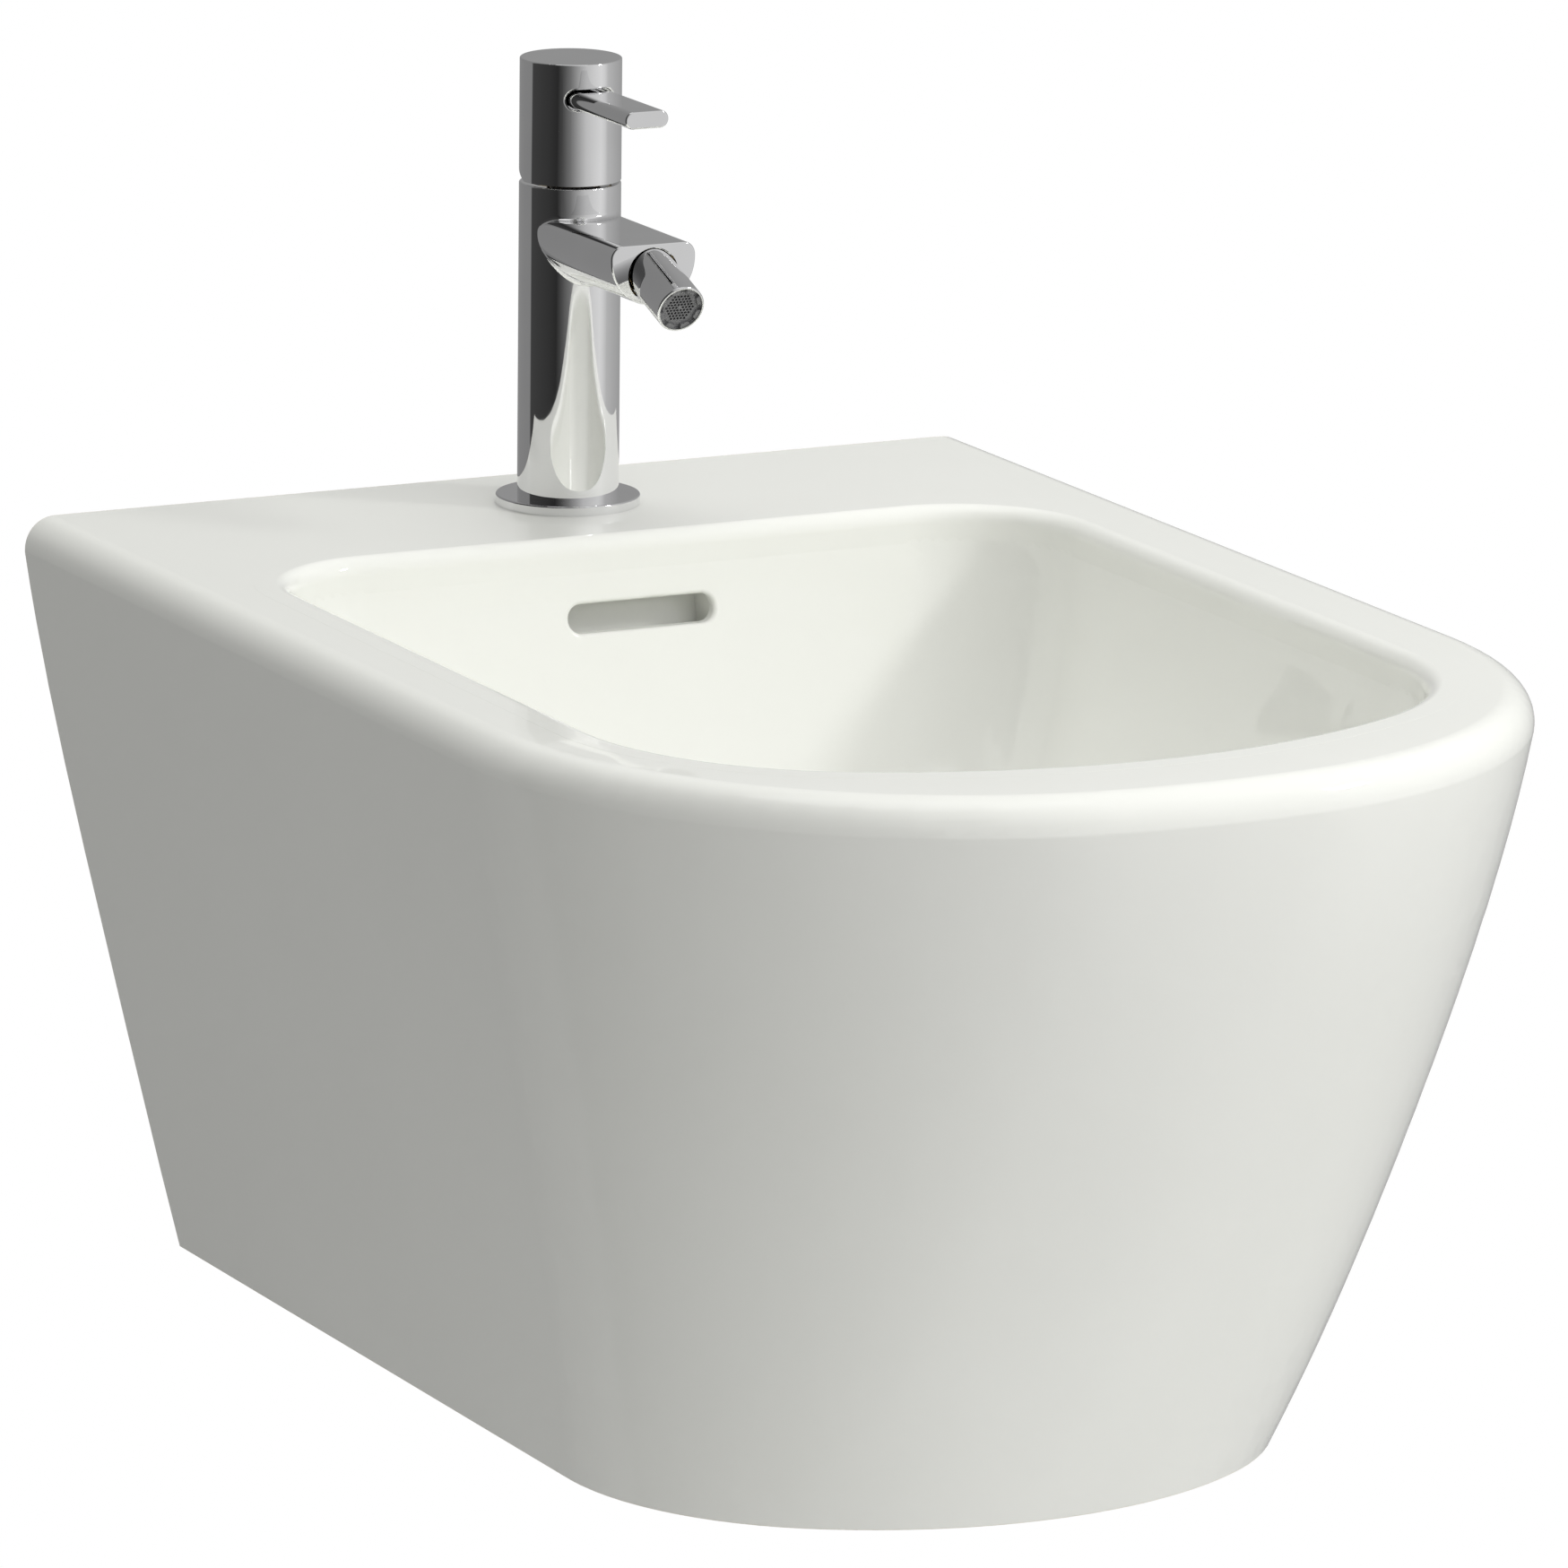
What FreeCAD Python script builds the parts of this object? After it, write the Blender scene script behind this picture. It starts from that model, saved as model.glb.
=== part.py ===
import FreeCAD, Part
import math
import os

from FreeCAD import Vector

# A wall-hung ceramic bidet with a single-lever tap and a push-open waste.
# Millimetres. +X is right seen from the front, +Y points into the wall and +Z is up.
# The origin lies on the wall, midway between the two fixing holes.

# Outside of the ceramic body
body_width = 360.0
body_length = 520.0
body_height = 262.2
rim_above_fixings = 85.0
rim_corner_setback = 15.5
rim_front_flatness = 128.0
foot_width = 245.6
foot_length = 417.4
foot_corner_setback = 24.0
foot_front_flatness = 19.4
side_bulge = 0.07
front_bulge = 0.26
wall_ease = 0.05
rim_rounding = 11.0

# Walls and openings of the ceramic body
skirt_wall = 11.0
deck_wall = 15.0
rear_wall = 18.0
foot_lip_width = 24.0
foot_lip_height = 12.0
rear_opening_width = 124.0
rear_opening_below_fixings = 26.0
rear_opening_radius = 30.0

# Bowl
rim_side = 36.5
rim_front = 48.0
deck_depth = 106.4
bowl_back_radius = 42.0
bowl_corner_setback = 51.5
bowl_front_flatness = 60.5
bowl_depth = 125.0
bowl_draft = 0.20
bowl_curve = 2.2
bowl_wall = 10.0
floor_radius = 44.0
floor_corner_setback = 2.0
floor_front_flatness = 1.0
drain_from_wall = 247.0
drain_hole_diameter = 46.0
collar_wall = 14.0
collar_height = 34.0

# Overflow slot and the duct that leads from it to the drain
overflow_width = 54.5
overflow_height = 9.7
overflow_below_rim = 27.5
overflow_rounding = 1.6
duct_gap = 11.0
duct_inner_wall = 6.0
duct_outer_wall = 8.0
duct_below_floor = 20.0

# Wall fixings
fixing_spacing = 180.0
fixing_bore = 12.5
sleeve_wall = 4.5
sleeve_flange_width = 5.0
sleeve_flange_thickness = 3.0

# Clearances: press for still fits, slip for sliding fits, loose for open gaps
press = 0.03
slip = 0.1
loose = 0.3

# Tap, with heights above the deck
tap_from_wall = 50.0
tap_hole_diameter = 35.0
tap_height = 154.2
column_diameter = 34.8
column_height = 111.5
column_bore = 28.6
head_gap = 0.9
edge_rounding = 0.6
base_ring_diameter = 49.5
base_ring_height = 3.4
base_ring_rim = 1.6
base_gasket_width = 4.0
base_gasket_thickness = 1.2
spigot_diameter = 31.0
spigot_depth = 3.0

# Spout
spout_reach = 65.2
spout_top = 100.8
spout_width = 31.3
spout_height = 20.9
spout_corner = 4.5
spout_blend = 2.0
spout_bore = 9.0

# Lever and head
lever_height = 142.0
lever_reach = 59.5
lever_width = 16.0
lever_thickness = 6.0
lever_inner_end = 4.0
lever_grip_end = 11.0
lever_hole_gap = 0.5
lever_hole_rounding = 0.8
head_bore = 27.4
head_bore_depth = 15.0
lift_angle = 24.0
relief_margin = 1.0
screw_diameter = 5.0
screw_length = 8.0
screw_height = 20.0
screw_key = 2.5

# Cartridge
stem_arm = 15.5
stem_width = 6.0
stem_depth = 7.0
stem_length = 24.0
stem_shank_radius = 2.1
stem_ball_radius = 2.5
stem_boss_radius = 4.2
stem_pin_diameter = 3.0
pin_running_gap = 0.05
carrier_lip = 1.0
carrier_floor = 1.2
carrier_diameter = 15.0
disc_thickness = 3.0
fixed_disc_diameter = 20.4
cartridge_base_height = 4.5
cartridge_diameter = 24.6
cartridge_wall = 1.3
cartridge_lip = 1.8
rotor_flange_height = 7.0
rotor_neck_diameter = 16.0
rotor_neck_above_pin = 3.5
port_diameter = 6.0
port_spread = 12.0
port_forward = 3.5
outlet_back = 6.5
port_seal_width = 1.5
port_seal_thickness = 1.2
nut_below_column = 0.5
nut_notches = 4
nut_notch_width = 3.0
nut_notch_depth = 1.5
rotor_window = 11.0

# Supply inlets and fixing stud under the tap
inlet_diameter = 9.0
inlet_depth = 14.0
inlet_passage = 8.6
passage_below_seat = 4.0
stud_diameter = 8.0
stud_back = 9.0
stud_in_body = 14.0
stud_below_nut = 8.0
horseshoe_diameter = 46.0
horseshoe_slot = 25.0
horseshoe_slot_forward = 9.0
horseshoe_seal_thickness = 3.0
horseshoe_washer_thickness = 3.0
stud_nut_across_flats = 13.0
stud_nut_height = 16.0

# Swivelling nozzle
nozzle_below_spout_top = 10.6
nozzle_diameter = 17.0
nozzle_reach = 22.8
nozzle_back = 4.2
nozzle_tilt = 20.5
nozzle_root_rounding = 1.2
recess_gap = 0.9
ball_radius = 6.0
ball_neck_diameter = 6.4
ball_bore = 4.4
ball_flange_diameter = 16.6
ball_flange_thickness = 2.0
ball_flange_back = 7.4
ball_seal_thickness = 1.0
ball_thread_diameter = 12.0
ball_thread_length = 9.0
liner_thickness = 0.8
liner_half_length = 2.4
socket_gap = 0.1
seat_start = 4.6
seat_length = 3.4
seat_hole = 8.0
mouth_wall = 0.75
aerator_gasket_thickness = 1.6
aerator_ring_wall = 1.5
aerator_recess = 0.4
aerator_notch_count = 8
aerator_notch_width = 2.4
aerator_notch_depth = 1.2
grid_thickness = 2.0
grid_recess = 0.9
grid_pitch = 1.22
grid_hole = 0.86
grid_border = 0.6
grid_spots = 3
grid_spot_circle = 6.3
insert_wall = 0.8

# Push-open waste, with heights from the bowl's floor
flange_diameter = 63.0
flange_thickness = 2.5
flange_proud = 0.5
flange_recess_gap = 1.0
flange_seat_slope = 1.5
waste_gasket_thickness = 1.5
waste_tube_diameter = 41.8
waste_tube_wall = 2.4
waste_tube_length = 70.0
waste_port_width = 22.0
waste_port_height = 12.0
waste_cone_thickness = 6.0
waste_cone_diameter = 60.0
waste_nut_diameter = 58.0
waste_nut_height = 10.0
waste_nut_lugs = 6
waste_nut_lug_width = 9.0
waste_nut_lug_depth = 3.0
spider_drop = 52.0
spider_height = 4.0
spider_arm_width = 4.0
spider_arms = 3
spider_hub_diameter = 14.0
plug_diameter = 58.0
plug_height = 6.0
plug_rounding = 2.0
plug_travel = 8.0
plug_seal_thickness = 2.4
plug_seal_width = 4.0
plug_seal_inset = 3.0
plug_seal_proud = 1.0
plunger_housing_diameter = 22.0
plunger_housing_wall = 1.6
plunger_housing_top = 14.0
plunger_shank = 10.0
plunger_diameter = 8.0
piston_height = 5.0
tail_seal_thickness = 2.0
tail_diameter = 32.0
tail_wall = 1.5
tail_flange_thickness = 3.0
tail_length = 56.0
tail_hub_wall = 2.2
tail_hub_below_nut = 1.0
tail_nut_wall = 4.0
tail_nut_height = 16.0
tail_nut_lip = 3.0

# Levels and places that follow from the sizes above
band_height = rim_rounding + 1.0
deck_z = rim_above_fixings
foot_z = deck_z - body_height
floor_z = deck_z - bowl_depth
overflow_z = deck_z - overflow_below_rim
sleeve_diameter = fixing_bore + 2 * sleeve_wall
drain_radius = drain_hole_diameter / 2
gasket_outer = base_ring_diameter / 2 - base_ring_rim
stud_nut_z = -deck_wall - horseshoe_seal_thickness - horseshoe_washer_thickness
pivot_z = column_height + head_gap
ball_offset = stem_arm * math.sin(math.radians(lift_angle / 2))
ball_z = pivot_z - stem_arm * math.cos(math.radians(lift_angle / 2))
carrier_low = pivot_z - stem_arm - stem_ball_radius - loose - carrier_floor
carrier_top = ball_z + carrier_lip
seat_z = carrier_low - 2 * disc_thickness - pin_running_gap - cartridge_base_height
rotor_low = carrier_top + slip
rotor_radius = cartridge_diameter / 2 - cartridge_wall - slip
housing_top = rotor_low + rotor_flange_height + slip + cartridge_lip
nozzle_z = spout_top - nozzle_below_spout_top
socket_radius = ball_radius + 2 * socket_gap + liner_thickness
mouth_radius = nozzle_diameter / 2 - mouth_wall
aerator_start = seat_start + seat_length + aerator_gasket_thickness
aerator_bore = mouth_radius - press - aerator_ring_wall
waste_tube_radius = waste_tube_diameter / 2
tail_hub_radius = tail_diameter / 2 - tail_wall + tail_hub_wall
plug_low = flange_proud + loose + plug_seal_proud
plug_seal_top = flange_proud + loose + plug_seal_thickness
plug_seal_outer = plug_diameter / 2 - plug_seal_inset
barrel_bore = plunger_housing_diameter - 2 * plunger_housing_wall
beyond = 5.0
FRONT = Vector(0, -1, 0)
UP = Vector(0, 0, 1)


def line(start, end):
    """A straight edge between two points."""
    return Part.LineSegment(start, end).toShape()


def arc_about(centre, radius, start, end, z):
    """An arc edge in a level plane, from one angle to another."""
    points = []
    for angle in (start, (start + end) / 2, end):
        points.append(Vector(centre[0] + radius * math.cos(angle), centre[1] + radius * math.sin(angle), z))
    return Part.Arc(*points).toShape()


def cylinder(radius, low, high, x=0.0, y=0.0):
    """An upright cylinder between two heights."""
    return Part.makeCylinder(radius, high - low, Vector(x, y, low))


def ring(outer, inner, low, high, x=0.0, y=0.0):
    """An upright ring between two heights."""
    return cylinder(outer, low, high, x, y).cut(cylinder(inner, low - beyond, high + beyond, x, y))


def turned(points):
    """A solid of revolution about Z from the corners (radius, height) of its half section."""
    corners = [Vector(radius, 0, height) for radius, height in points]
    face = Part.Face(Part.makePolygon(corners + corners[:1]))
    return face.revolve(Vector(0, 0, 0), UP, 360)


def box(low, high):
    """A box between two corners."""
    return Part.makeBox(high[0] - low[0], high[1] - low[1], high[2] - low[2], Vector(*low))


def hexagon(across_flats, low, height):
    """An upright hexagonal prism."""
    radius = across_flats / math.sqrt(3)
    corners = []
    for step in range(7):
        angle = math.radians(60 * step)
        corners.append(Vector(radius * math.cos(angle), radius * math.sin(angle), low))
    return Part.Face(Part.makePolygon(corners)).extrude(Vector(0, 0, height))


def stadium_bar(width, thickness, z, start, end):
    """A bar along Y with a stadium section, between two places on Y."""
    flat = (width - thickness) / 2
    half = thickness / 2
    corners = [Vector(-flat, start, z + half), Vector(flat, start, z + half)]
    corners += [Vector(flat, start, z - half), Vector(-flat, start, z - half)]
    right = Part.Arc(corners[1], Vector(flat + half, start, z), corners[2]).toShape()
    left = Part.Arc(corners[3], Vector(-flat - half, start, z), corners[0]).toShape()
    wire = Part.Wire([line(corners[0], corners[1]), right, line(corners[2], corners[3]), left])
    return Part.Face(wire).extrude(Vector(0, end - start, 0))


def strip(path, half):
    """The outline of a band of even thickness along a path of (y, z) points, as a closed polygon."""
    left = []
    right = []
    for index, (y, z) in enumerate(path):
        before = path[max(index - 1, 0)]
        after = path[min(index + 1, len(path) - 1)]
        along = [(y - before[0], z - before[1]), (after[0] - y, after[1] - z)]
        units = [(a / math.hypot(a, b), b / math.hypot(a, b)) for a, b in along if math.hypot(a, b) > 0]
        mean = (sum(u[0] for u in units), sum(u[1] for u in units))
        size = math.hypot(*mean)
        normal = (-mean[1] / size, mean[0] / size)
        stretch = half / (units[0][0] * mean[0] / size + units[0][1] * mean[1] / size)
        left.append((y + normal[0] * stretch, z + normal[1] * stretch))
        right.append((y - normal[0] * stretch, z - normal[1] * stretch))
    return left + right[::-1]


def slab_across(points, half_width):
    """A polygon of (y, z) points made solid to both sides of the middle plane."""
    corners = [Vector(-half_width, y, z) for y, z in points]
    return Part.Face(Part.makePolygon(corners + corners[:1])).extrude(Vector(2 * half_width, 0, 0))


def blend(start, end, share):
    """The value that lies a share of the way from start to end."""
    return start + (end - start) * share


def eased(depth):
    """A share of depth that leaves the upright rim band without a crease."""
    return depth * depth / (depth + wall_ease) * (1.0 + wall_ease)


def front_arcs(half_width, front, setback, flatness, z):
    """The three tangent arcs of a D-shaped front, and where its straight sides end."""
    corner_radius = half_width - setback
    front_radius = half_width + flatness
    front_centre = (0.0, front + front_radius)
    side_end = front_centre[1] - math.sqrt((front_radius - corner_radius) ** 2 - setback ** 2)
    turn = math.atan2(side_end - front_centre[1], setback)
    arcs = [
        arc_about((setback, side_end), corner_radius, 0.0, turn, z),
        arc_about(front_centre, front_radius, turn, -math.pi - turn, z),
        arc_about((-setback, side_end), corner_radius, -math.pi - turn, -math.pi, z),
    ]
    return arcs, side_end


def closing(depth, bulge):
    """The share by which the body has closed in at a share of its depth, for a bulging wall."""
    return (1.0 - bulge) * depth + bulge * depth ** 2


def body_outline(drop, inset, back):
    """The body's outline at a depth below the rim, moved inwards by a wall."""
    depth = eased((drop - band_height) / (body_height - band_height))
    share = closing(depth, side_bulge)
    half_width = blend(body_width, foot_width, share) / 2 - inset
    front = inset - blend(body_length, foot_length, closing(depth, front_bulge))
    setback = blend(rim_corner_setback, foot_corner_setback, share)
    flatness = blend(rim_front_flatness, foot_front_flatness, share)
    z = deck_z - drop
    arcs, side_end = front_arcs(half_width, front, setback, flatness, z)
    right = Vector(half_width, back, z)
    left = Vector(-half_width, back, z)
    sides = [line(left, right), line(right, Vector(half_width, side_end, z))]
    return Part.Wire(sides + arcs + [line(Vector(-half_width, side_end, z), left)])


def body_loft(top, bottom, inset, back, steps, ruled):
    """The body's bulging outside, or its inside when it is inset by a wall."""
    drops = [blend(bottom, top, step / steps) for step in range(steps + 1)]
    return Part.makeLoft([body_outline(drop, inset, back) for drop in drops], True, ruled)


def bowl_share(drop):
    """How far the bowl has closed in from its mouth to its floor at a depth below the rim."""
    depth = eased((drop - band_height) / (bowl_depth - band_height))
    curve = 1.0 - (1.0 - min(depth, 1.0) ** bowl_curve) ** (1.0 / bowl_curve)
    return bowl_draft * depth + (1.0 - bowl_draft) * curve


def bowl_back(drop):
    """Where the middle of the bowl's back wall stands at a depth below the rim."""
    return blend(-deck_depth, floor_radius - drain_from_wall, bowl_share(drop))


def bowl_outline(drop, grow, sink=0.0):
    """The bowl's outline at a depth below the rim, moved outwards by a wall and down."""
    share = bowl_share(drop)
    half_width = blend(body_width / 2 - rim_side, floor_radius, share) + grow
    back = bowl_back(drop) + grow
    front = blend(rim_front - body_length, -drain_from_wall - floor_radius, share) - grow
    setback = blend(bowl_corner_setback, floor_corner_setback, share)
    flatness = blend(bowl_front_flatness, floor_front_flatness, share)
    back_radius = blend(bowl_back_radius, floor_radius - floor_corner_setback, share) + grow
    z = deck_z - drop - sink
    arcs, side_end = front_arcs(half_width, front, setback, flatness, z)
    back_half = half_width - back_radius
    back_y = back - back_radius
    edges = [
        line(Vector(-back_half, back, z), Vector(back_half, back, z)),
        arc_about((back_half, back_y), back_radius, math.pi / 2, 0.0, z),
        line(Vector(half_width, back_y, z), Vector(half_width, side_end, z)),
    ]
    edges += arcs
    edges += [
        line(Vector(-half_width, side_end, z), Vector(-half_width, back_y, z)),
        arc_about((-back_half, back_y), back_radius, math.pi, math.pi / 2, z),
    ]
    return Part.Wire(edges)


def bowl_hollow():
    """The hollow of the bowl below the rim band."""
    shares = (1.0, 0.93, 0.8, 0.6, 0.3, 0.0)
    drops = [blend(band_height, bowl_depth, share) for share in shares]
    return Part.makeLoft([bowl_outline(drop, 0.0) for drop in drops], True, False)


def bowl_shell_outside():
    """The outside of the bowl's wall, seen from under the body."""
    shares = (1.0, 0.92, 0.75, 0.45, 0.0)
    sections = []
    for share in shares:
        sections.append(bowl_outline(blend(band_height, bowl_depth, share), bowl_wall, bowl_wall * share))
    return Part.makeLoft(sections, True, True)


def duct_path():
    """The overflow duct's middle line, from behind the slot down along the bowl to the drain."""
    offset = duct_inner_wall + duct_gap / 2
    path = []
    for share in (0.0, 0.45, 0.75, 0.93):
        drop = blend(overflow_below_rim, bowl_depth, share)
        ahead = (bowl_back(drop + 1.0) - bowl_back(drop), -1.0)
        size = math.hypot(*ahead)
        path.append((bowl_back(drop) - ahead[1] / size * offset, deck_z - drop + ahead[0] / size * offset))
    path[0] = (path[0][0], overflow_z + overflow_height / 2)
    path.append((drain_radius - drain_from_wall, floor_z - duct_below_floor))
    return path


def ceramic_body():
    """The glazed body: an upright rim band, a bulging skirt, the bowl, the overflow duct and the walls."""
    rear_run = beyond
    band = Part.Face(body_outline(band_height, 0.0, rear_run)).extrude(Vector(0, 0, band_height))
    mouth = Part.Face(bowl_outline(band_height, 0.0)).extrude(Vector(0, 0, band_height + beyond))
    band = band.cut(mouth)
    top = max(band.Faces, key=lambda face: face.CenterOfMass.z)
    band = band.makeFillet(rim_rounding, [edge for edge in top.Edges if edge.CenterOfMass.y < 0])

    skirt = body_loft(band_height, body_height, 0.0, rear_run, 4, False)

    cavity = body_loft(deck_wall, body_height - foot_lip_height, skirt_wall, -rear_wall, 3, True)
    cavity = cavity.cut(bowl_shell_outside())
    collar = cylinder(drain_radius + collar_wall, floor_z - collar_height, floor_z, 0.0, -drain_from_wall)
    cavity = cavity.cut(collar)
    path = duct_path()
    upper_end = (path[0][0], deck_z - deck_wall)
    inner_end = (-drain_from_wall, path[-1][1])
    cast = slab_across(strip([upper_end] + path + [inner_end], duct_gap / 2 + duct_outer_wall),
                       overflow_width / 2 + duct_outer_wall)
    cavity = cavity.cut(cast)

    solid = skirt.cut(bowl_hollow()).cut(cavity)
    solid = solid.fuse(band)
    solid = solid.common(box((-body_width, -2 * body_length, 2 * foot_z), (body_width, 0, 2 * deck_z)))

    recess_radius = flange_diameter / 2 + flange_recess_gap
    recess_depth = waste_gasket_thickness + flange_thickness - flange_proud
    throat = (drain_radius - drain_from_wall - drain_radius / 3, path[-1][1])
    slot_front = -deck_depth - bowl_wall - beyond
    slot = stadium_bar(overflow_width, overflow_height, overflow_z, path[0][0], slot_front)
    solid = solid.cut(slot)
    near_slot = box((-overflow_width, slot_front, overflow_z - overflow_height),
                    (overflow_width, -deck_depth, overflow_z + overflow_height)).BoundBox
    lip = [edge for edge in solid.Edges if near_slot.isInside(edge.BoundBox)]
    solid = solid.makeFillet(overflow_rounding, lip)
    cuts = [
        slab_across(strip(path + [throat], duct_gap / 2), overflow_width / 2),
        cylinder(drain_radius, floor_z - collar_height - beyond, floor_z + beyond, 0.0, -drain_from_wall),
        cylinder(recess_radius, floor_z - recess_depth, floor_z + beyond, 0.0, -drain_from_wall),
        cylinder(tap_hole_diameter / 2, deck_z - deck_wall - beyond, deck_z + beyond, 0.0, -tap_from_wall),
        foot_opening(),
        rear_opening(),
    ]
    for side in (-1, 1):
        hole = Part.makeCylinder(sleeve_diameter / 2 + slip, rear_wall + 2 * beyond,
                                 Vector(side * fixing_spacing / 2, beyond, 0), FRONT)
        cuts.append(hole)
    for cut in cuts:
        solid = solid.cut(cut)
    return solid


def foot_opening():
    """The opening in the underside, inside the foot's lip."""
    wire = body_outline(body_height, foot_lip_width, -rear_wall)
    prism = Part.Face(wire).extrude(Vector(0, 0, foot_lip_height + 2 * beyond))
    prism.translate(Vector(0, 0, -beyond))
    return prism


def rear_opening():
    """The round-topped opening in the rear wall for the pipes."""
    half = rear_opening_width / 2
    top = -rear_opening_below_fixings
    opening = box((-half, -rear_wall - beyond, foot_z - beyond), (half, beyond, top))
    corners = [edge for edge in opening.Edges
               if abs(edge.BoundBox.ZMin - top) < slip and edge.BoundBox.YLength > rear_wall]
    return opening.makeFillet(rear_opening_radius, corners)

def moved(shape, x, y, z):
    """A shape carried to a new place."""
    shape.translate(Vector(x, y, z))
    return shape


def at_tap(shape):
    """A shape carried from the tap's own axis to its place on the deck."""
    return moved(shape, 0.0, -tap_from_wall, deck_z)


def at_drain(shape):
    """A shape carried from the drain's own axis to its place in the bowl's floor."""
    return moved(shape, 0.0, -drain_from_wall, floor_z)


def at_nozzle(shape, tilt):
    """A shape carried from its own upright axis to the nozzle's pivot, pointing forwards and down."""
    shape.rotate(Vector(0, 0, 0), Vector(1, 0, 0), 90 + tilt)
    return at_tap(moved(shape, 0.0, -spout_reach, nozzle_z))


def level_edges(shape, height):
    """The edges of a shape that lie level at a height."""
    return [edge for edge in shape.Edges
            if abs(edge.BoundBox.ZMin - height) < press and abs(edge.BoundBox.ZMax - height) < press]


def outer_edge(shape, height):
    """The widest level edge of a turned shape at a height."""
    return [max(level_edges(shape, height), key=lambda edge: edge.Length)]


def fixing_sleeve(side):
    """A flanged plastic sleeve that lines one fixing hole."""
    centre = Vector(side * fixing_spacing / 2, 0, 0)
    tube = Part.makeCylinder(sleeve_diameter / 2, rear_wall, centre, FRONT)
    inside = Vector(centre.x, -rear_wall, 0)
    flange_radius = sleeve_diameter / 2 + sleeve_flange_width
    flange = Part.makeCylinder(flange_radius, sleeve_flange_thickness, inside, FRONT)
    bore = Part.makeCylinder(fixing_bore / 2, rear_wall + 2 * beyond, Vector(centre.x, beyond, 0), FRONT)
    return tube.fuse(flange).cut(bore).removeSplitter()


def base_ring():
    """The chrome ring under the column, with a groove in its underside for the gasket."""
    plate = cylinder(base_ring_diameter / 2, 0.0, base_ring_height)
    plate = plate.makeFillet(edge_rounding, outer_edge(plate, base_ring_height))
    plate = plate.cut(cylinder(spigot_diameter / 2 + slip, -beyond, base_ring_height + beyond))
    groove = ring(gasket_outer, gasket_outer - base_gasket_width, -beyond, base_gasket_thickness)
    return at_tap(plate.cut(groove))


def base_gasket():
    """The soft ring between the base ring and the deck."""
    inner = gasket_outer - base_gasket_width + slip
    return at_tap(ring(gasket_outer - slip, inner, 0.0, base_gasket_thickness))


def spout_outline(y):
    """The spout's section: a flat top with rounded corners over a half-round underside."""
    half = spout_width / 2
    side_low = spout_top - spout_height + half
    side_high = spout_top - spout_corner
    flat = half - spout_corner
    turn = spout_corner * math.sqrt(0.5)
    right = Part.Arc(Vector(flat, y, spout_top), Vector(flat + turn, y, side_high + turn),
                     Vector(half, y, side_high)).toShape()
    under = Part.Arc(Vector(half, y, side_low), Vector(0, y, side_low - half),
                     Vector(-half, y, side_low)).toShape()
    left = Part.Arc(Vector(-half, y, side_high), Vector(-flat - turn, y, side_high + turn),
                    Vector(-flat, y, spout_top)).toShape()
    edges = [line(Vector(-flat, y, spout_top), Vector(flat, y, spout_top)), right]
    edges += [line(Vector(half, y, side_high), Vector(half, y, side_low)), under]
    edges += [line(Vector(-half, y, side_low), Vector(-half, y, side_high)), left]
    return Part.Wire(edges)


def along_spout(radius, start, end):
    """A cylinder on the spout's waterway, between two distances in front of the tap's axis."""
    return Part.makeCylinder(radius, end - start, Vector(0, -start, nozzle_z), FRONT)


def tap_body():
    """The column and its spout, with the cartridge bore, the waterways and the fixing holes."""
    column = cylinder(column_diameter / 2, base_ring_height, column_height)
    spout = Part.Face(spout_outline(0.0)).extrude(Vector(0, -spout_reach, 0))
    end_edges = [edge for edge in spout.Edges if edge.BoundBox.YMax < press - spout_reach]
    spout = spout.makeFillet(edge_rounding, end_edges)
    body = column.fuse(spout)
    meet = [edge for edge in body.Edges
            if edge.BoundBox.YMin > -column_diameter and edge.BoundBox.ZMax < spout_top + slip
            and edge.BoundBox.ZMin > spout_top - spout_height - slip and edge.BoundBox.YMax < -press
            and abs(math.hypot(edge.CenterOfMass.x, edge.CenterOfMass.y)) < column_diameter / 2 + slip
            and edge.BoundBox.YLength < column_diameter / 2]
    body = body.makeFillet(spout_blend, meet)
    body = body.makeFillet(edge_rounding, outer_edge(body, column_height))
    body = body.fuse(cylinder(spigot_diameter / 2, base_ring_height - spigot_depth, base_ring_height))

    low = base_ring_height - spigot_depth
    recess_depth = ball_flange_back + ball_flange_thickness + ball_seal_thickness
    recess_end = spout_reach - recess_depth
    thread_end = recess_end - ball_thread_length - slip
    cuts = [
        cylinder(column_bore / 2, seat_z, column_height + beyond),
        along_spout(nozzle_diameter / 2 + recess_gap, recess_end, spout_reach + beyond),
        along_spout(ball_thread_diameter / 2 + press, thread_end, recess_end + beyond),
        along_spout(spout_bore / 2, cartridge_diameter / 2, recess_end),
        cylinder(stud_diameter / 2 + press, low - beyond, low + stud_in_body, 0.0, stud_back),
    ]
    for side in (-1, 1):
        x = side * port_spread / 2
        cuts.append(cylinder(inlet_diameter / 2, low - beyond, low + inlet_depth, x, -port_forward))
        cuts.append(cylinder(inlet_passage / 2, low, seat_z - passage_below_seat, x, -port_forward))
        cuts.append(cylinder(port_diameter / 2, low, seat_z + beyond, x, -port_forward))
    for cut in cuts:
        body = body.cut(cut)
    return at_tap(body.removeSplitter())


def mounting_stud():
    """The threaded stud that draws the tap down onto the deck."""
    top = base_ring_height - spigot_depth + stud_in_body - slip
    stud = cylinder(stud_diameter / 2, stud_nut_z - stud_nut_height - stud_below_nut, top, 0.0, stud_back)
    return at_tap(stud)


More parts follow.
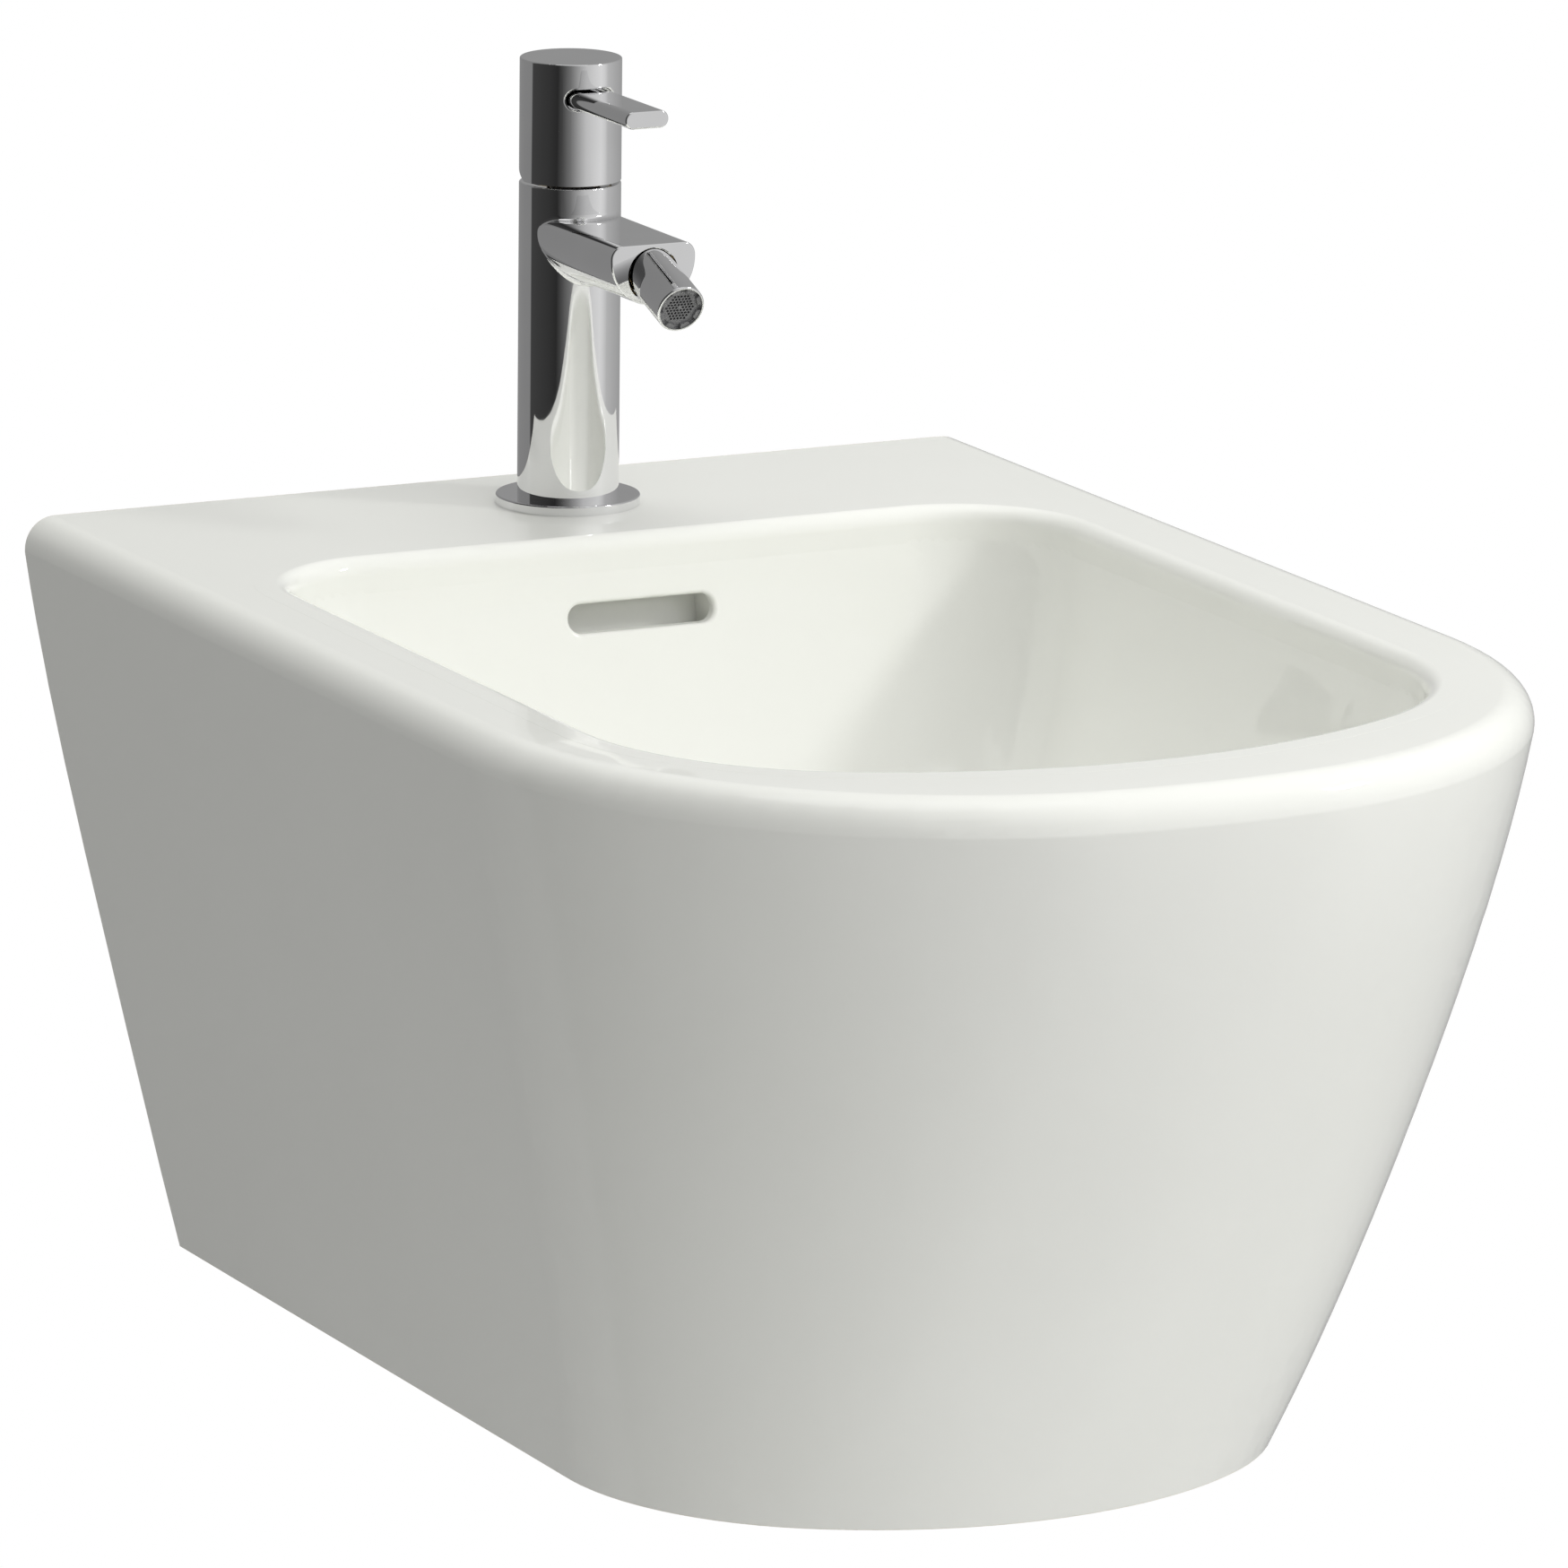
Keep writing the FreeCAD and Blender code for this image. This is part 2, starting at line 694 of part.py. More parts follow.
def horseshoe(top, thickness):
    """A plate under the deck, slotted for the supplies and drilled for the stud."""
    plate = cylinder(horseshoe_diameter / 2, top - thickness, top)
    slot = cylinder(horseshoe_slot / 2, top - thickness - beyond, top + beyond, 0.0, -horseshoe_slot_forward)
    way_out = box((-horseshoe_slot / 2, -horseshoe_diameter, top - thickness - beyond),
                  (horseshoe_slot / 2, -horseshoe_slot_forward, top + beyond))
    hole = cylinder(stud_diameter / 2 + slip, top - thickness - beyond, top + beyond, 0.0, stud_back)
    return at_tap(plate.cut(slot.fuse(way_out)).cut(hole))


def mounting_nut():
    """The long hexagonal nut on the stud."""
    nut = hexagon(stud_nut_across_flats, stud_nut_z - stud_nut_height, stud_nut_height)
    bore = cylinder(stud_diameter / 2 + press, stud_nut_z - stud_nut_height - beyond, stud_nut_z + beyond)
    return at_tap(moved(nut.cut(bore), 0.0, stud_back, 0.0))


def cartridge_base():
    """The cartridge's foot, with two inlets, grooves for their seals and an outlet to the side."""
    top = seat_z + cartridge_base_height
    foot = cylinder(cartridge_diameter / 2, seat_z, top)
    for side in (-1, 1):
        x = side * port_spread / 2
        foot = foot.cut(cylinder(port_diameter / 2, seat_z - beyond, top + beyond, x, -port_forward))
        groove = cylinder(port_diameter / 2 + port_seal_width, seat_z - beyond, seat_z + port_seal_thickness,
                          x, -port_forward)
        foot = foot.cut(groove)
    foot = foot.cut(cylinder(port_diameter / 2, seat_z + port_seal_thickness, top + beyond, 0.0, outlet_back))
    way_out = box((-port_diameter / 2, outlet_back, seat_z + port_seal_thickness),
                  (port_diameter / 2, cartridge_diameter, top - port_seal_thickness))
    return at_tap(foot.cut(way_out))


def port_seal(side):
    """The seal ring round one inlet of the cartridge."""
    outer = port_diameter / 2 + port_seal_width - slip
    x = side * port_spread / 2
    return at_tap(ring(outer, port_diameter / 2, seat_z, seat_z + port_seal_thickness, x, -port_forward))


def fixed_disc():
    """The lower ceramic disc, pierced by the two inlets and the outlet."""
    low = seat_z + cartridge_base_height
    disc = cylinder(fixed_disc_diameter / 2, low, low + disc_thickness)
    for x, y in ((-port_spread / 2, -port_forward), (port_spread / 2, -port_forward), (0.0, outlet_back)):
        disc = disc.cut(cylinder(port_diameter / 2, low - beyond, low + disc_thickness + beyond, x, y))
    return at_tap(disc)


def moving_disc():
    """The upper ceramic disc, with the mixing pocket in its underside."""
    low = carrier_low - disc_thickness
    disc = cylinder(carrier_diameter / 2, low, carrier_low)
    pocket = cylinder(carrier_diameter / 2 - port_seal_width, low - beyond, low + disc_thickness / 2)
    return at_tap(moved(disc.cut(pocket), 0.0, ball_offset, 0.0))


def disc_carrier():
    """The plastic carrier on the moving disc, with the hole that the stem's ball works in."""
    carrier = cylinder(carrier_diameter / 2, carrier_low, carrier_top)
    hole = cylinder(stem_ball_radius + slip, carrier_low + carrier_floor, carrier_top + beyond)
    return at_tap(moved(carrier.cut(hole), 0.0, ball_offset, 0.0))


def cartridge_rotor():
    """The rotor: a flange and a neck with a window for the stem and a cross hole for its pin."""
    flange = cylinder(rotor_radius, rotor_low, rotor_low + rotor_flange_height)
    top = pivot_z + rotor_neck_above_pin
    neck = cylinder(rotor_neck_diameter / 2, rotor_low, top)
    window = box((-stem_width / 2 - slip, -rotor_window / 2, rotor_low - beyond),
                 (stem_width / 2 + slip, rotor_window / 2, top + beyond))
    cross = Part.makeCylinder(stem_pin_diameter / 2 + press, 2 * rotor_neck_diameter,
                              Vector(-rotor_neck_diameter, 0, pivot_z), Vector(1, 0, 0))
    return at_tap(flange.fuse(neck).removeSplitter().cut(window).cut(cross))


def stem_pin():
    """The steel pin that the stem tilts on."""
    half = rotor_neck_diameter / 2 - edge_rounding
    pin = Part.makeCylinder(stem_pin_diameter / 2, 2 * half, Vector(-half, 0, pivot_z), Vector(1, 0, 0))
    return at_tap(pin)


def lever_stem():
    """The stem: a square top for the head, a boss on the pin and a leaning arm that ends in a ball."""
    bar = box((-stem_width / 2, -stem_depth / 2, 0.0), (stem_width / 2, stem_depth / 2, stem_length))
    boss = Part.makeCylinder(stem_boss_radius, stem_width, Vector(-stem_width / 2, 0, 0), Vector(1, 0, 0))
    lean = math.radians(lift_angle / 2)
    down = Vector(0, math.sin(lean), -math.cos(lean))
    arm = Part.makeCylinder(stem_shank_radius, stem_arm, Vector(0, 0, 0), down)
    ball = Part.makeSphere(stem_ball_radius, down * stem_arm)
    hole = Part.makeCylinder(stem_pin_diameter / 2 + pin_running_gap, 2 * stem_width,
                             Vector(-stem_width, 0, 0), Vector(1, 0, 0))
    stem = bar.fuse([boss, arm, ball]).cut(hole)
    return at_tap(moved(stem.removeSplitter(), 0.0, 0.0, pivot_z))


def cartridge_housing():
    """The cartridge's shell, with a lip that keeps the rotor in."""
    inner = cartridge_diameter / 2 - cartridge_wall
    low = seat_z + cartridge_base_height
    shell = ring(cartridge_diameter / 2, inner, low, housing_top)
    lip_inner = rotor_neck_diameter / 2 + slip
    lip = ring(inner + cartridge_wall / 2, lip_inner, housing_top - cartridge_lip, housing_top)
    return at_tap(shell.fuse(lip).removeSplitter())


def cartridge_nut():
    """The notched nut that holds the cartridge down in the column."""
    top = column_height - nut_below_column
    nut = ring(column_bore / 2 - slip, rotor_neck_diameter / 2 + 2 * loose, housing_top, top)
    for turn in range(nut_notches):
        notch = box((rotor_neck_diameter / 2, -nut_notch_width / 2, top - nut_notch_depth),
                    (column_bore, nut_notch_width / 2, top + beyond))
        notch.rotate(Vector(0, 0, 0), UP, turn * 360 / nut_notches)
        nut = nut.cut(notch)
    return at_tap(nut)


def handle_head():
    """The round head over the column, hollow below, cut away at the rear so that it can tip back."""
    radius = column_diameter / 2
    head = cylinder(radius, pivot_z, tap_height)
    head = head.makeFillet(edge_rounding, outer_edge(head, tap_height))
    rise = math.tan(math.radians(lift_angle + relief_margin))
    far = radius + beyond
    relief = [(0.0, pivot_z), (far, pivot_z + far * rise), (far, pivot_z - beyond), (0.0, pivot_z - beyond)]
    screw_start = Vector(0, 0, pivot_z + screw_height)
    grip = 2 * press
    mouth = 2 * lever_hole_gap
    opening = stadium_bar(lever_width + mouth, lever_thickness + mouth, lever_height, -lever_grip_end, -far)
    head = head.cut(opening)
    near_hole = box((-lever_width, -far, lever_height - lever_thickness),
                    (lever_width, -lever_grip_end - press, lever_height + lever_thickness)).BoundBox
    lip = [edge for edge in head.Edges if near_hole.isInside(edge.BoundBox)]
    head = head.makeFillet(lever_hole_rounding, lip)
    cuts = [
        cylinder(head_bore / 2, pivot_z - beyond, pivot_z + head_bore_depth),
        slab_across(relief, column_diameter),
        box((-stem_width / 2 - press, -stem_depth / 2 - press, pivot_z),
            (stem_width / 2 + press, stem_depth / 2 + press, pivot_z + stem_length + slip)),
        stadium_bar(lever_width + grip, lever_thickness + grip, lever_height, -lever_inner_end, -far),
        Part.makeCylinder(screw_diameter / 2 + press, far, screw_start, Vector(0, 1, 0)),
    ]
    for cut in cuts:
        head = head.cut(cut)
    return at_tap(head)


def lever_bar():
    """The flat lever with round sides."""
    bar = stadium_bar(lever_width, lever_thickness, lever_height, -lever_inner_end, -lever_reach)
    tip = [edge for edge in bar.Edges if edge.BoundBox.YMax < press - lever_reach]
    return at_tap(bar.makeFillet(edge_rounding, tip))


def lever_screw():
    """The grub screw at the rear that clamps the head on the stem."""
    start = Vector(0, stem_depth / 2, pivot_z + screw_height)
    screw = Part.makeCylinder(screw_diameter / 2, screw_length, start, Vector(0, 1, 0))
    key = hexagon(screw_key, screw_length - screw_key, screw_key + beyond)
    key.rotate(Vector(0, 0, 0), Vector(1, 0, 0), -90)
    key.translate(start)
    return at_tap(screw.cut(key))


def swivel_stud():
    """The ball stud in the spout's end, bored through for the water."""
    back = -ball_flange_back - ball_flange_thickness
    ball = Part.makeSphere(ball_radius)
    neck = cylinder(ball_neck_diameter / 2, -ball_flange_back, 0.0)
    flange = cylinder(ball_flange_diameter / 2, back, -ball_flange_back)
    thread = cylinder(ball_thread_diameter / 2, back - ball_seal_thickness - ball_thread_length, back)
    stud = ball.fuse([neck, flange, thread]).removeSplitter()
    stud = stud.cut(cylinder(ball_bore / 2, -2 * spout_reach, 2 * ball_radius))
    return at_nozzle(stud, 0.0)


def stud_seal():
    """The seal ring between the ball stud's flange and the spout."""
    back = -ball_flange_back - ball_flange_thickness
    inner = ball_thread_diameter / 2 + slip
    return at_nozzle(ring(ball_flange_diameter / 2, inner, back - ball_seal_thickness, back), 0.0)


def nozzle_liner():
    """The thin plastic liner round the ball, which turns sideways with the nozzle."""
    shell = Part.makeSphere(ball_radius + socket_gap + liner_thickness)
    shell = shell.cut(Part.makeSphere(ball_radius + socket_gap))
    band = cylinder(2 * ball_radius, -liner_half_length, liner_half_length)
    return at_nozzle(shell.common(band), 0.0)


def nozzle_sleeve():
    """The nozzle's chrome sleeve, with a round socket over the ball and a stepped bore to its mouth."""
    sleeve = cylinder(nozzle_diameter / 2, -nozzle_back, nozzle_reach)
    sleeve = sleeve.makeFillet(nozzle_root_rounding, outer_edge(sleeve, -nozzle_back))
    sleeve = sleeve.makeFillet(edge_rounding, outer_edge(sleeve, nozzle_reach))
    cuts = [
        Part.makeSphere(socket_radius),
        cylinder(ball_radius - slip, -nozzle_back - beyond, 0.0),
        cylinder(socket_radius, 0.0, seat_start),
        cylinder(mouth_radius, seat_start, nozzle_reach + beyond),
    ]
    for cut in cuts:
        sleeve = sleeve.cut(cut)
    return at_nozzle(sleeve, nozzle_tilt)


def nozzle_seat():
    """The ring screwed into the sleeve that holds the ball in its socket."""
    seat = ring(mouth_radius - press, seat_hole / 2, seat_start, seat_start + seat_length)
    return at_nozzle(seat, nozzle_tilt)


def aerator_gasket():
    """The flat gasket behind the aerator."""
    low = seat_start + seat_length
    gasket = ring(mouth_radius - slip, seat_hole / 2, low, low + aerator_gasket_thickness)
    return at_nozzle(gasket, nozzle_tilt)


def aerator_housing():
    """The aerator's outer ring, notched round its front for a key."""
    front = nozzle_reach - aerator_recess
    housing = ring(mouth_radius - press, aerator_bore, aerator_start, front)
    for turn in range(aerator_notch_count):
        notch = box((aerator_bore / 2, -aerator_notch_width / 2, front - aerator_notch_depth),
                    (nozzle_diameter, aerator_notch_width / 2, front + beyond))
        notch.rotate(Vector(0, 0, 0), UP, turn * 360 / aerator_notch_count)
        housing = housing.cut(notch)
    return at_nozzle(housing, nozzle_tilt)


def aerator_insert():
    """The aerator's core: a cup with a honeycomb of six-sided holes in its front."""
    front = nozzle_reach - aerator_recess - grid_recess
    outer = aerator_bore - press
    core = cylinder(outer, aerator_start, front)
    core = core.cut(cylinder(outer - insert_wall, aerator_start - beyond, front - grid_thickness))
    limit = outer - grid_border - grid_hole / 2
    count = int(outer / grid_pitch) + 2
    holes = []
    for row in range(-count, count + 1):
        for column in range(-count, count + 1):
            x = (column + row / 2) * grid_pitch
            y = row * grid_pitch * math.sqrt(3) / 2
            if math.hypot(x, y) < limit and not on_grid_spot(x, y):
                hole = hexagon(grid_hole, front - grid_thickness - beyond, grid_thickness + 2 * beyond)
                hole.rotate(Vector(0, 0, 0), UP, 30)
                holes.append(moved(hole, x, y, 0.0))
    return at_nozzle(core.cut(Part.makeCompound(holes)), nozzle_tilt)


def on_grid_spot(x, y):
    """Whether a place in the honeycomb is one of the spots left solid."""
    spots = [(0.0, 0.0)]
    for turn in range(grid_spots):
        angle = math.radians(90 + turn * 360 / grid_spots)
        spots.append((grid_spot_circle / 2 * math.cos(angle), grid_spot_circle / 2 * math.sin(angle)))
    return any(math.hypot(x - spot[0], y - spot[1]) < grid_pitch / 2 for spot in spots)


def waste_body():
    """The waste's flange and tube, with ports for the overflow and a spider for the plunger."""
    inner = waste_tube_radius - waste_tube_wall
    flange_low = flange_proud - flange_thickness
    body = turned([
        (inner, -waste_tube_length), (waste_tube_radius, -waste_tube_length),
        (waste_tube_radius, flange_low), (flange_diameter / 2, flange_low),
        (flange_diameter / 2, flange_proud), (inner + flange_seat_slope, flange_proud),
        (inner, flange_proud - flange_seat_slope),
    ])
    port = box((-waste_port_width / 2, -flange_diameter, -duct_below_floor - waste_port_height / 2),
               (waste_port_width / 2, flange_diameter, -duct_below_floor + waste_port_height / 2))
    body = body.cut(port)
    spider = cylinder(spider_hub_diameter / 2, -spider_drop, spider_height - spider_drop)
    for turn in range(spider_arms):
        arm = box((0.0, -spider_arm_width / 2, -spider_drop),
                  (inner + waste_tube_wall / 2, spider_arm_width / 2, spider_height - spider_drop))
        arm.rotate(Vector(0, 0, 0), UP, 90 + turn * 360 / spider_arms)
        spider = spider.fuse(arm)
    body = body.fuse(spider).removeSplitter()
    return at_drain(body.cut(cylinder(plunger_shank / 2 + press, -2 * spider_drop, 0.0)))


def waste_top_gasket():
    """The flat gasket under the waste's flange."""
    low = flange_proud - flange_thickness - waste_gasket_thickness
    return at_drain(ring(flange_diameter / 2, waste_tube_radius + slip, low, low + waste_gasket_thickness))


def waste_bottom_gasket():
    """The thick gasket under the drain collar."""
    top = -collar_height
    return at_drain(ring(waste_cone_diameter / 2, waste_tube_radius + slip, top - waste_cone_thickness, top))


def waste_nut():
    """The back nut under the collar, notched round its rim."""
    top = -collar_height - waste_cone_thickness
    nut = ring(waste_nut_diameter / 2, waste_tube_radius + press, top - waste_nut_height, top)
    notch_inner = waste_nut_diameter / 2 - waste_nut_lug_depth
    for turn in range(waste_nut_lugs):
        notch = box((notch_inner, -waste_nut_lug_width / 2, top - 2 * waste_nut_height),
                    (waste_nut_diameter, waste_nut_lug_width / 2, top - waste_nut_height / 3))
        notch.rotate(Vector(0, 0, 0), UP, turn * 360 / waste_nut_lugs)
        nut = nut.cut(notch)
    return at_drain(nut)


def waste_plug():
    """The flat plug with a rounded edge, a groove for its seal and a socket for the plunger."""
    radius = plug_diameter / 2
    top = plug_low + plug_height
    plug = cylinder(radius, plug_low, top)
    plug = plug.makeFillet(plug_rounding, outer_edge(plug, top))
    groove = ring(plug_seal_outer, plug_seal_outer - plug_seal_width, plug_low - beyond, plug_seal_top)
    socket = cylinder(plunger_diameter / 2 + press, plug_low - beyond, plug_low + plug_height / 2)
    return at_drain(plug.cut(groove).cut(socket))


def plug_seal():
    """The soft ring in the plug's underside that closes on the flange."""
    seal = ring(plug_seal_outer - press, plug_seal_outer - plug_seal_width + press,
                flange_proud + loose, plug_seal_top)
    return at_drain(seal)


def plunger_housing():
    """The barrel that guides the plunger, standing on the spider."""
    low = spider_height - spider_drop
    ceiling = -plunger_housing_top - plunger_housing_wall
    barrel = cylinder(plunger_housing_diameter / 2, low, -plunger_housing_top)
    shank = cylinder(plunger_shank / 2, -spider_drop, low)
    bore = cylinder(barrel_bore / 2, low + plunger_housing_wall, ceiling)
    guide = cylinder(plunger_diameter / 2 + slip, ceiling - beyond, beyond)
    return at_drain(barrel.fuse(shank).removeSplitter().cut(bore).cut(guide))


def plunger_rod():
    """The plunger: a rod fixed in the plug, with a piston that slides in the barrel."""
    piston_top = -plunger_housing_top - plunger_housing_wall - plug_travel - loose
    rod = cylinder(plunger_diameter / 2, piston_top - piston_height, plug_low + plug_height / 2 - press)
    piston = cylinder(barrel_bore / 2 - slip, piston_top - piston_height, piston_top)
    return at_drain(rod.fuse(piston).removeSplitter())


def tail_seal():
    """The flat seal between the waste's tube and the tailpipe."""
    top = -waste_tube_length
    return at_drain(ring(waste_tube_radius, tail_diameter / 2 - tail_wall, top - tail_seal_thickness, top))


def tailpipe():
    """The flanged outlet pipe, with a thicker hub where it passes through the union nut."""
    top = -waste_tube_length - tail_seal_thickness
    shoulder = top - tail_flange_thickness
    flange = cylinder(waste_tube_radius, shoulder, top)
    hub_low = shoulder - tail_nut_lip - tail_hub_below_nut
    step = tail_hub_radius - tail_diameter / 2
    hub = cylinder(tail_hub_radius, hub_low, top)
    slope = Part.makeCone(tail_diameter / 2, tail_hub_radius, step, Vector(0, 0, hub_low - step))
    pipe = cylinder(tail_diameter / 2, shoulder - tail_length, top)
    bore = cylinder(tail_diameter / 2 - tail_wall, shoulder - tail_length - beyond, top + beyond)
    return at_drain(flange.fuse([hub, slope, pipe]).removeSplitter().cut(bore))


def tail_nut():
    """The union nut that pulls the tailpipe up against the waste."""
    shoulder = -waste_tube_length - tail_seal_thickness - tail_flange_thickness
    low = shoulder - tail_nut_lip
    nut = cylinder(waste_tube_radius + tail_nut_wall, low, low + tail_nut_height)
    nut = nut.cut(cylinder(waste_tube_radius + press, shoulder, low + tail_nut_height + beyond))
    return at_drain(nut.cut(cylinder(tail_hub_radius + slip, low - beyond, shoulder + beyond)))


def main():
    """Build every piece and write one file for each."""
    horseshoe_washer_top = -deck_wall - horseshoe_seal_thickness
    pieces = {
        "ceramic_body": ceramic_body(),
        "fixing_sleeve_left": fixing_sleeve(-1),
        "fixing_sleeve_right": fixing_sleeve(1),
        "base_ring": base_ring(),
        "base_gasket": base_gasket(),
        "tap_body": tap_body(),
        "mounting_stud": mounting_stud(),
        "horseshoe_seal": horseshoe(-deck_wall, horseshoe_seal_thickness),
        "horseshoe_washer": horseshoe(horseshoe_washer_top, horseshoe_washer_thickness),
        "mounting_nut": mounting_nut(),
        "cartridge_base": cartridge_base(),
        "port_seal_left": port_seal(-1),
        "port_seal_right": port_seal(1),
        "fixed_disc": fixed_disc(),
        "moving_disc": moving_disc(),
        "disc_carrier": disc_carrier(),
        "cartridge_rotor": cartridge_rotor(),
        "stem_pin": stem_pin(),
        "lever_stem": lever_stem(),
        "cartridge_housing": cartridge_housing(),
        "cartridge_nut": cartridge_nut(),
        "handle_head": handle_head(),
        "lever_bar": lever_bar(),
        "lever_screw": lever_screw(),
        "swivel_stud": swivel_stud(),
        "stud_seal": stud_seal(),
        "nozzle_liner": nozzle_liner(),
        "nozzle_sleeve": nozzle_sleeve(),
        "nozzle_seat": nozzle_seat(),
        "aerator_gasket": aerator_gasket(),
        "aerator_housing": aerator_housing(),
        "aerator_insert": aerator_insert(),
        "waste_body": waste_body(),
        "waste_top_gasket": waste_top_gasket(),
        "waste_bottom_gasket": waste_bottom_gasket(),
        "waste_nut": waste_nut(),
        "waste_plug": waste_plug(),
        "plug_seal": plug_seal(),
        "plunger_housing": plunger_housing(),
        "plunger_rod": plunger_rod(),
        "tail_seal": tail_seal(),
        "tailpipe": tailpipe(),
        "tail_nut": tail_nut(),
    }
    os.makedirs("parts", exist_ok=True)
    for node, shape in pieces.items():
        shape.exportStep("parts/" + node + ".step")
        print(node, shape.isValid(), len(shape.Solids), round(shape.Volume, 1))


main()
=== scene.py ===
import logging
import math
from dataclasses import dataclass
from enum import Enum

import bmesh
import bpy
from mathutils import Matrix, Vector


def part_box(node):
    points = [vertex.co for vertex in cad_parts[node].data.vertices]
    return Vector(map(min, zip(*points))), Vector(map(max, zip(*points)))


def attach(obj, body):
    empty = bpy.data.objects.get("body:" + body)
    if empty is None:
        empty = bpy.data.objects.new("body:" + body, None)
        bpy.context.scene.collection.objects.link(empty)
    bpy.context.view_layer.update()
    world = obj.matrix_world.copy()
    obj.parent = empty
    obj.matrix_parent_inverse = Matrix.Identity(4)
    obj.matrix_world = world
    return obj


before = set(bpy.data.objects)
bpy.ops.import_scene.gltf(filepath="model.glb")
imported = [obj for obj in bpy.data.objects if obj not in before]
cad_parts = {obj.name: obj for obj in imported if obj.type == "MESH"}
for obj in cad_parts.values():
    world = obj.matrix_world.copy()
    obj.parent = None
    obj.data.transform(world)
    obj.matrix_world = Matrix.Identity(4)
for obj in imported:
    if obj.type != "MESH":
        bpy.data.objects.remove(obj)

LOG = logging.getLogger("bidet")
# A noise's values lie mostly between these two.
NOISE_LOW = 0.3
NOISE_HIGH = 0.7
# An edge that turns more than this stays sharp.
CREASE_DEG = 28.0
# Points closer than this, in metres, are joined: for the shading, and where a swept path closes.
WELD_GAP = 0.000002
SEAM_GAP = 0.000005
Colour = tuple[float, float, float]
Place = tuple[float, float, float]
Way = tuple[float, float, float]
Pair = tuple[float, float]


class Grain(Enum):
    """How the fine detail of a finish runs."""

    GLAZE = "glaze"
    POLISH = "polish"
    TURNED = "turned"
    MOULDED = "moulded"


class MixKind(Enum):
    """What a mix node mixes: its data type, and the places of its first input and of its output."""

    NUMBER = ("FLOAT", 2, 0)
    COLOUR = ("RGBA", 6, 2)


# The detail of a finish's unevenness. A turned finish has rings instead.
RELIEF_DETAIL = {Grain.GLAZE: 1.0, Grain.POLISH: 1.0, Grain.MOULDED: 2.0}


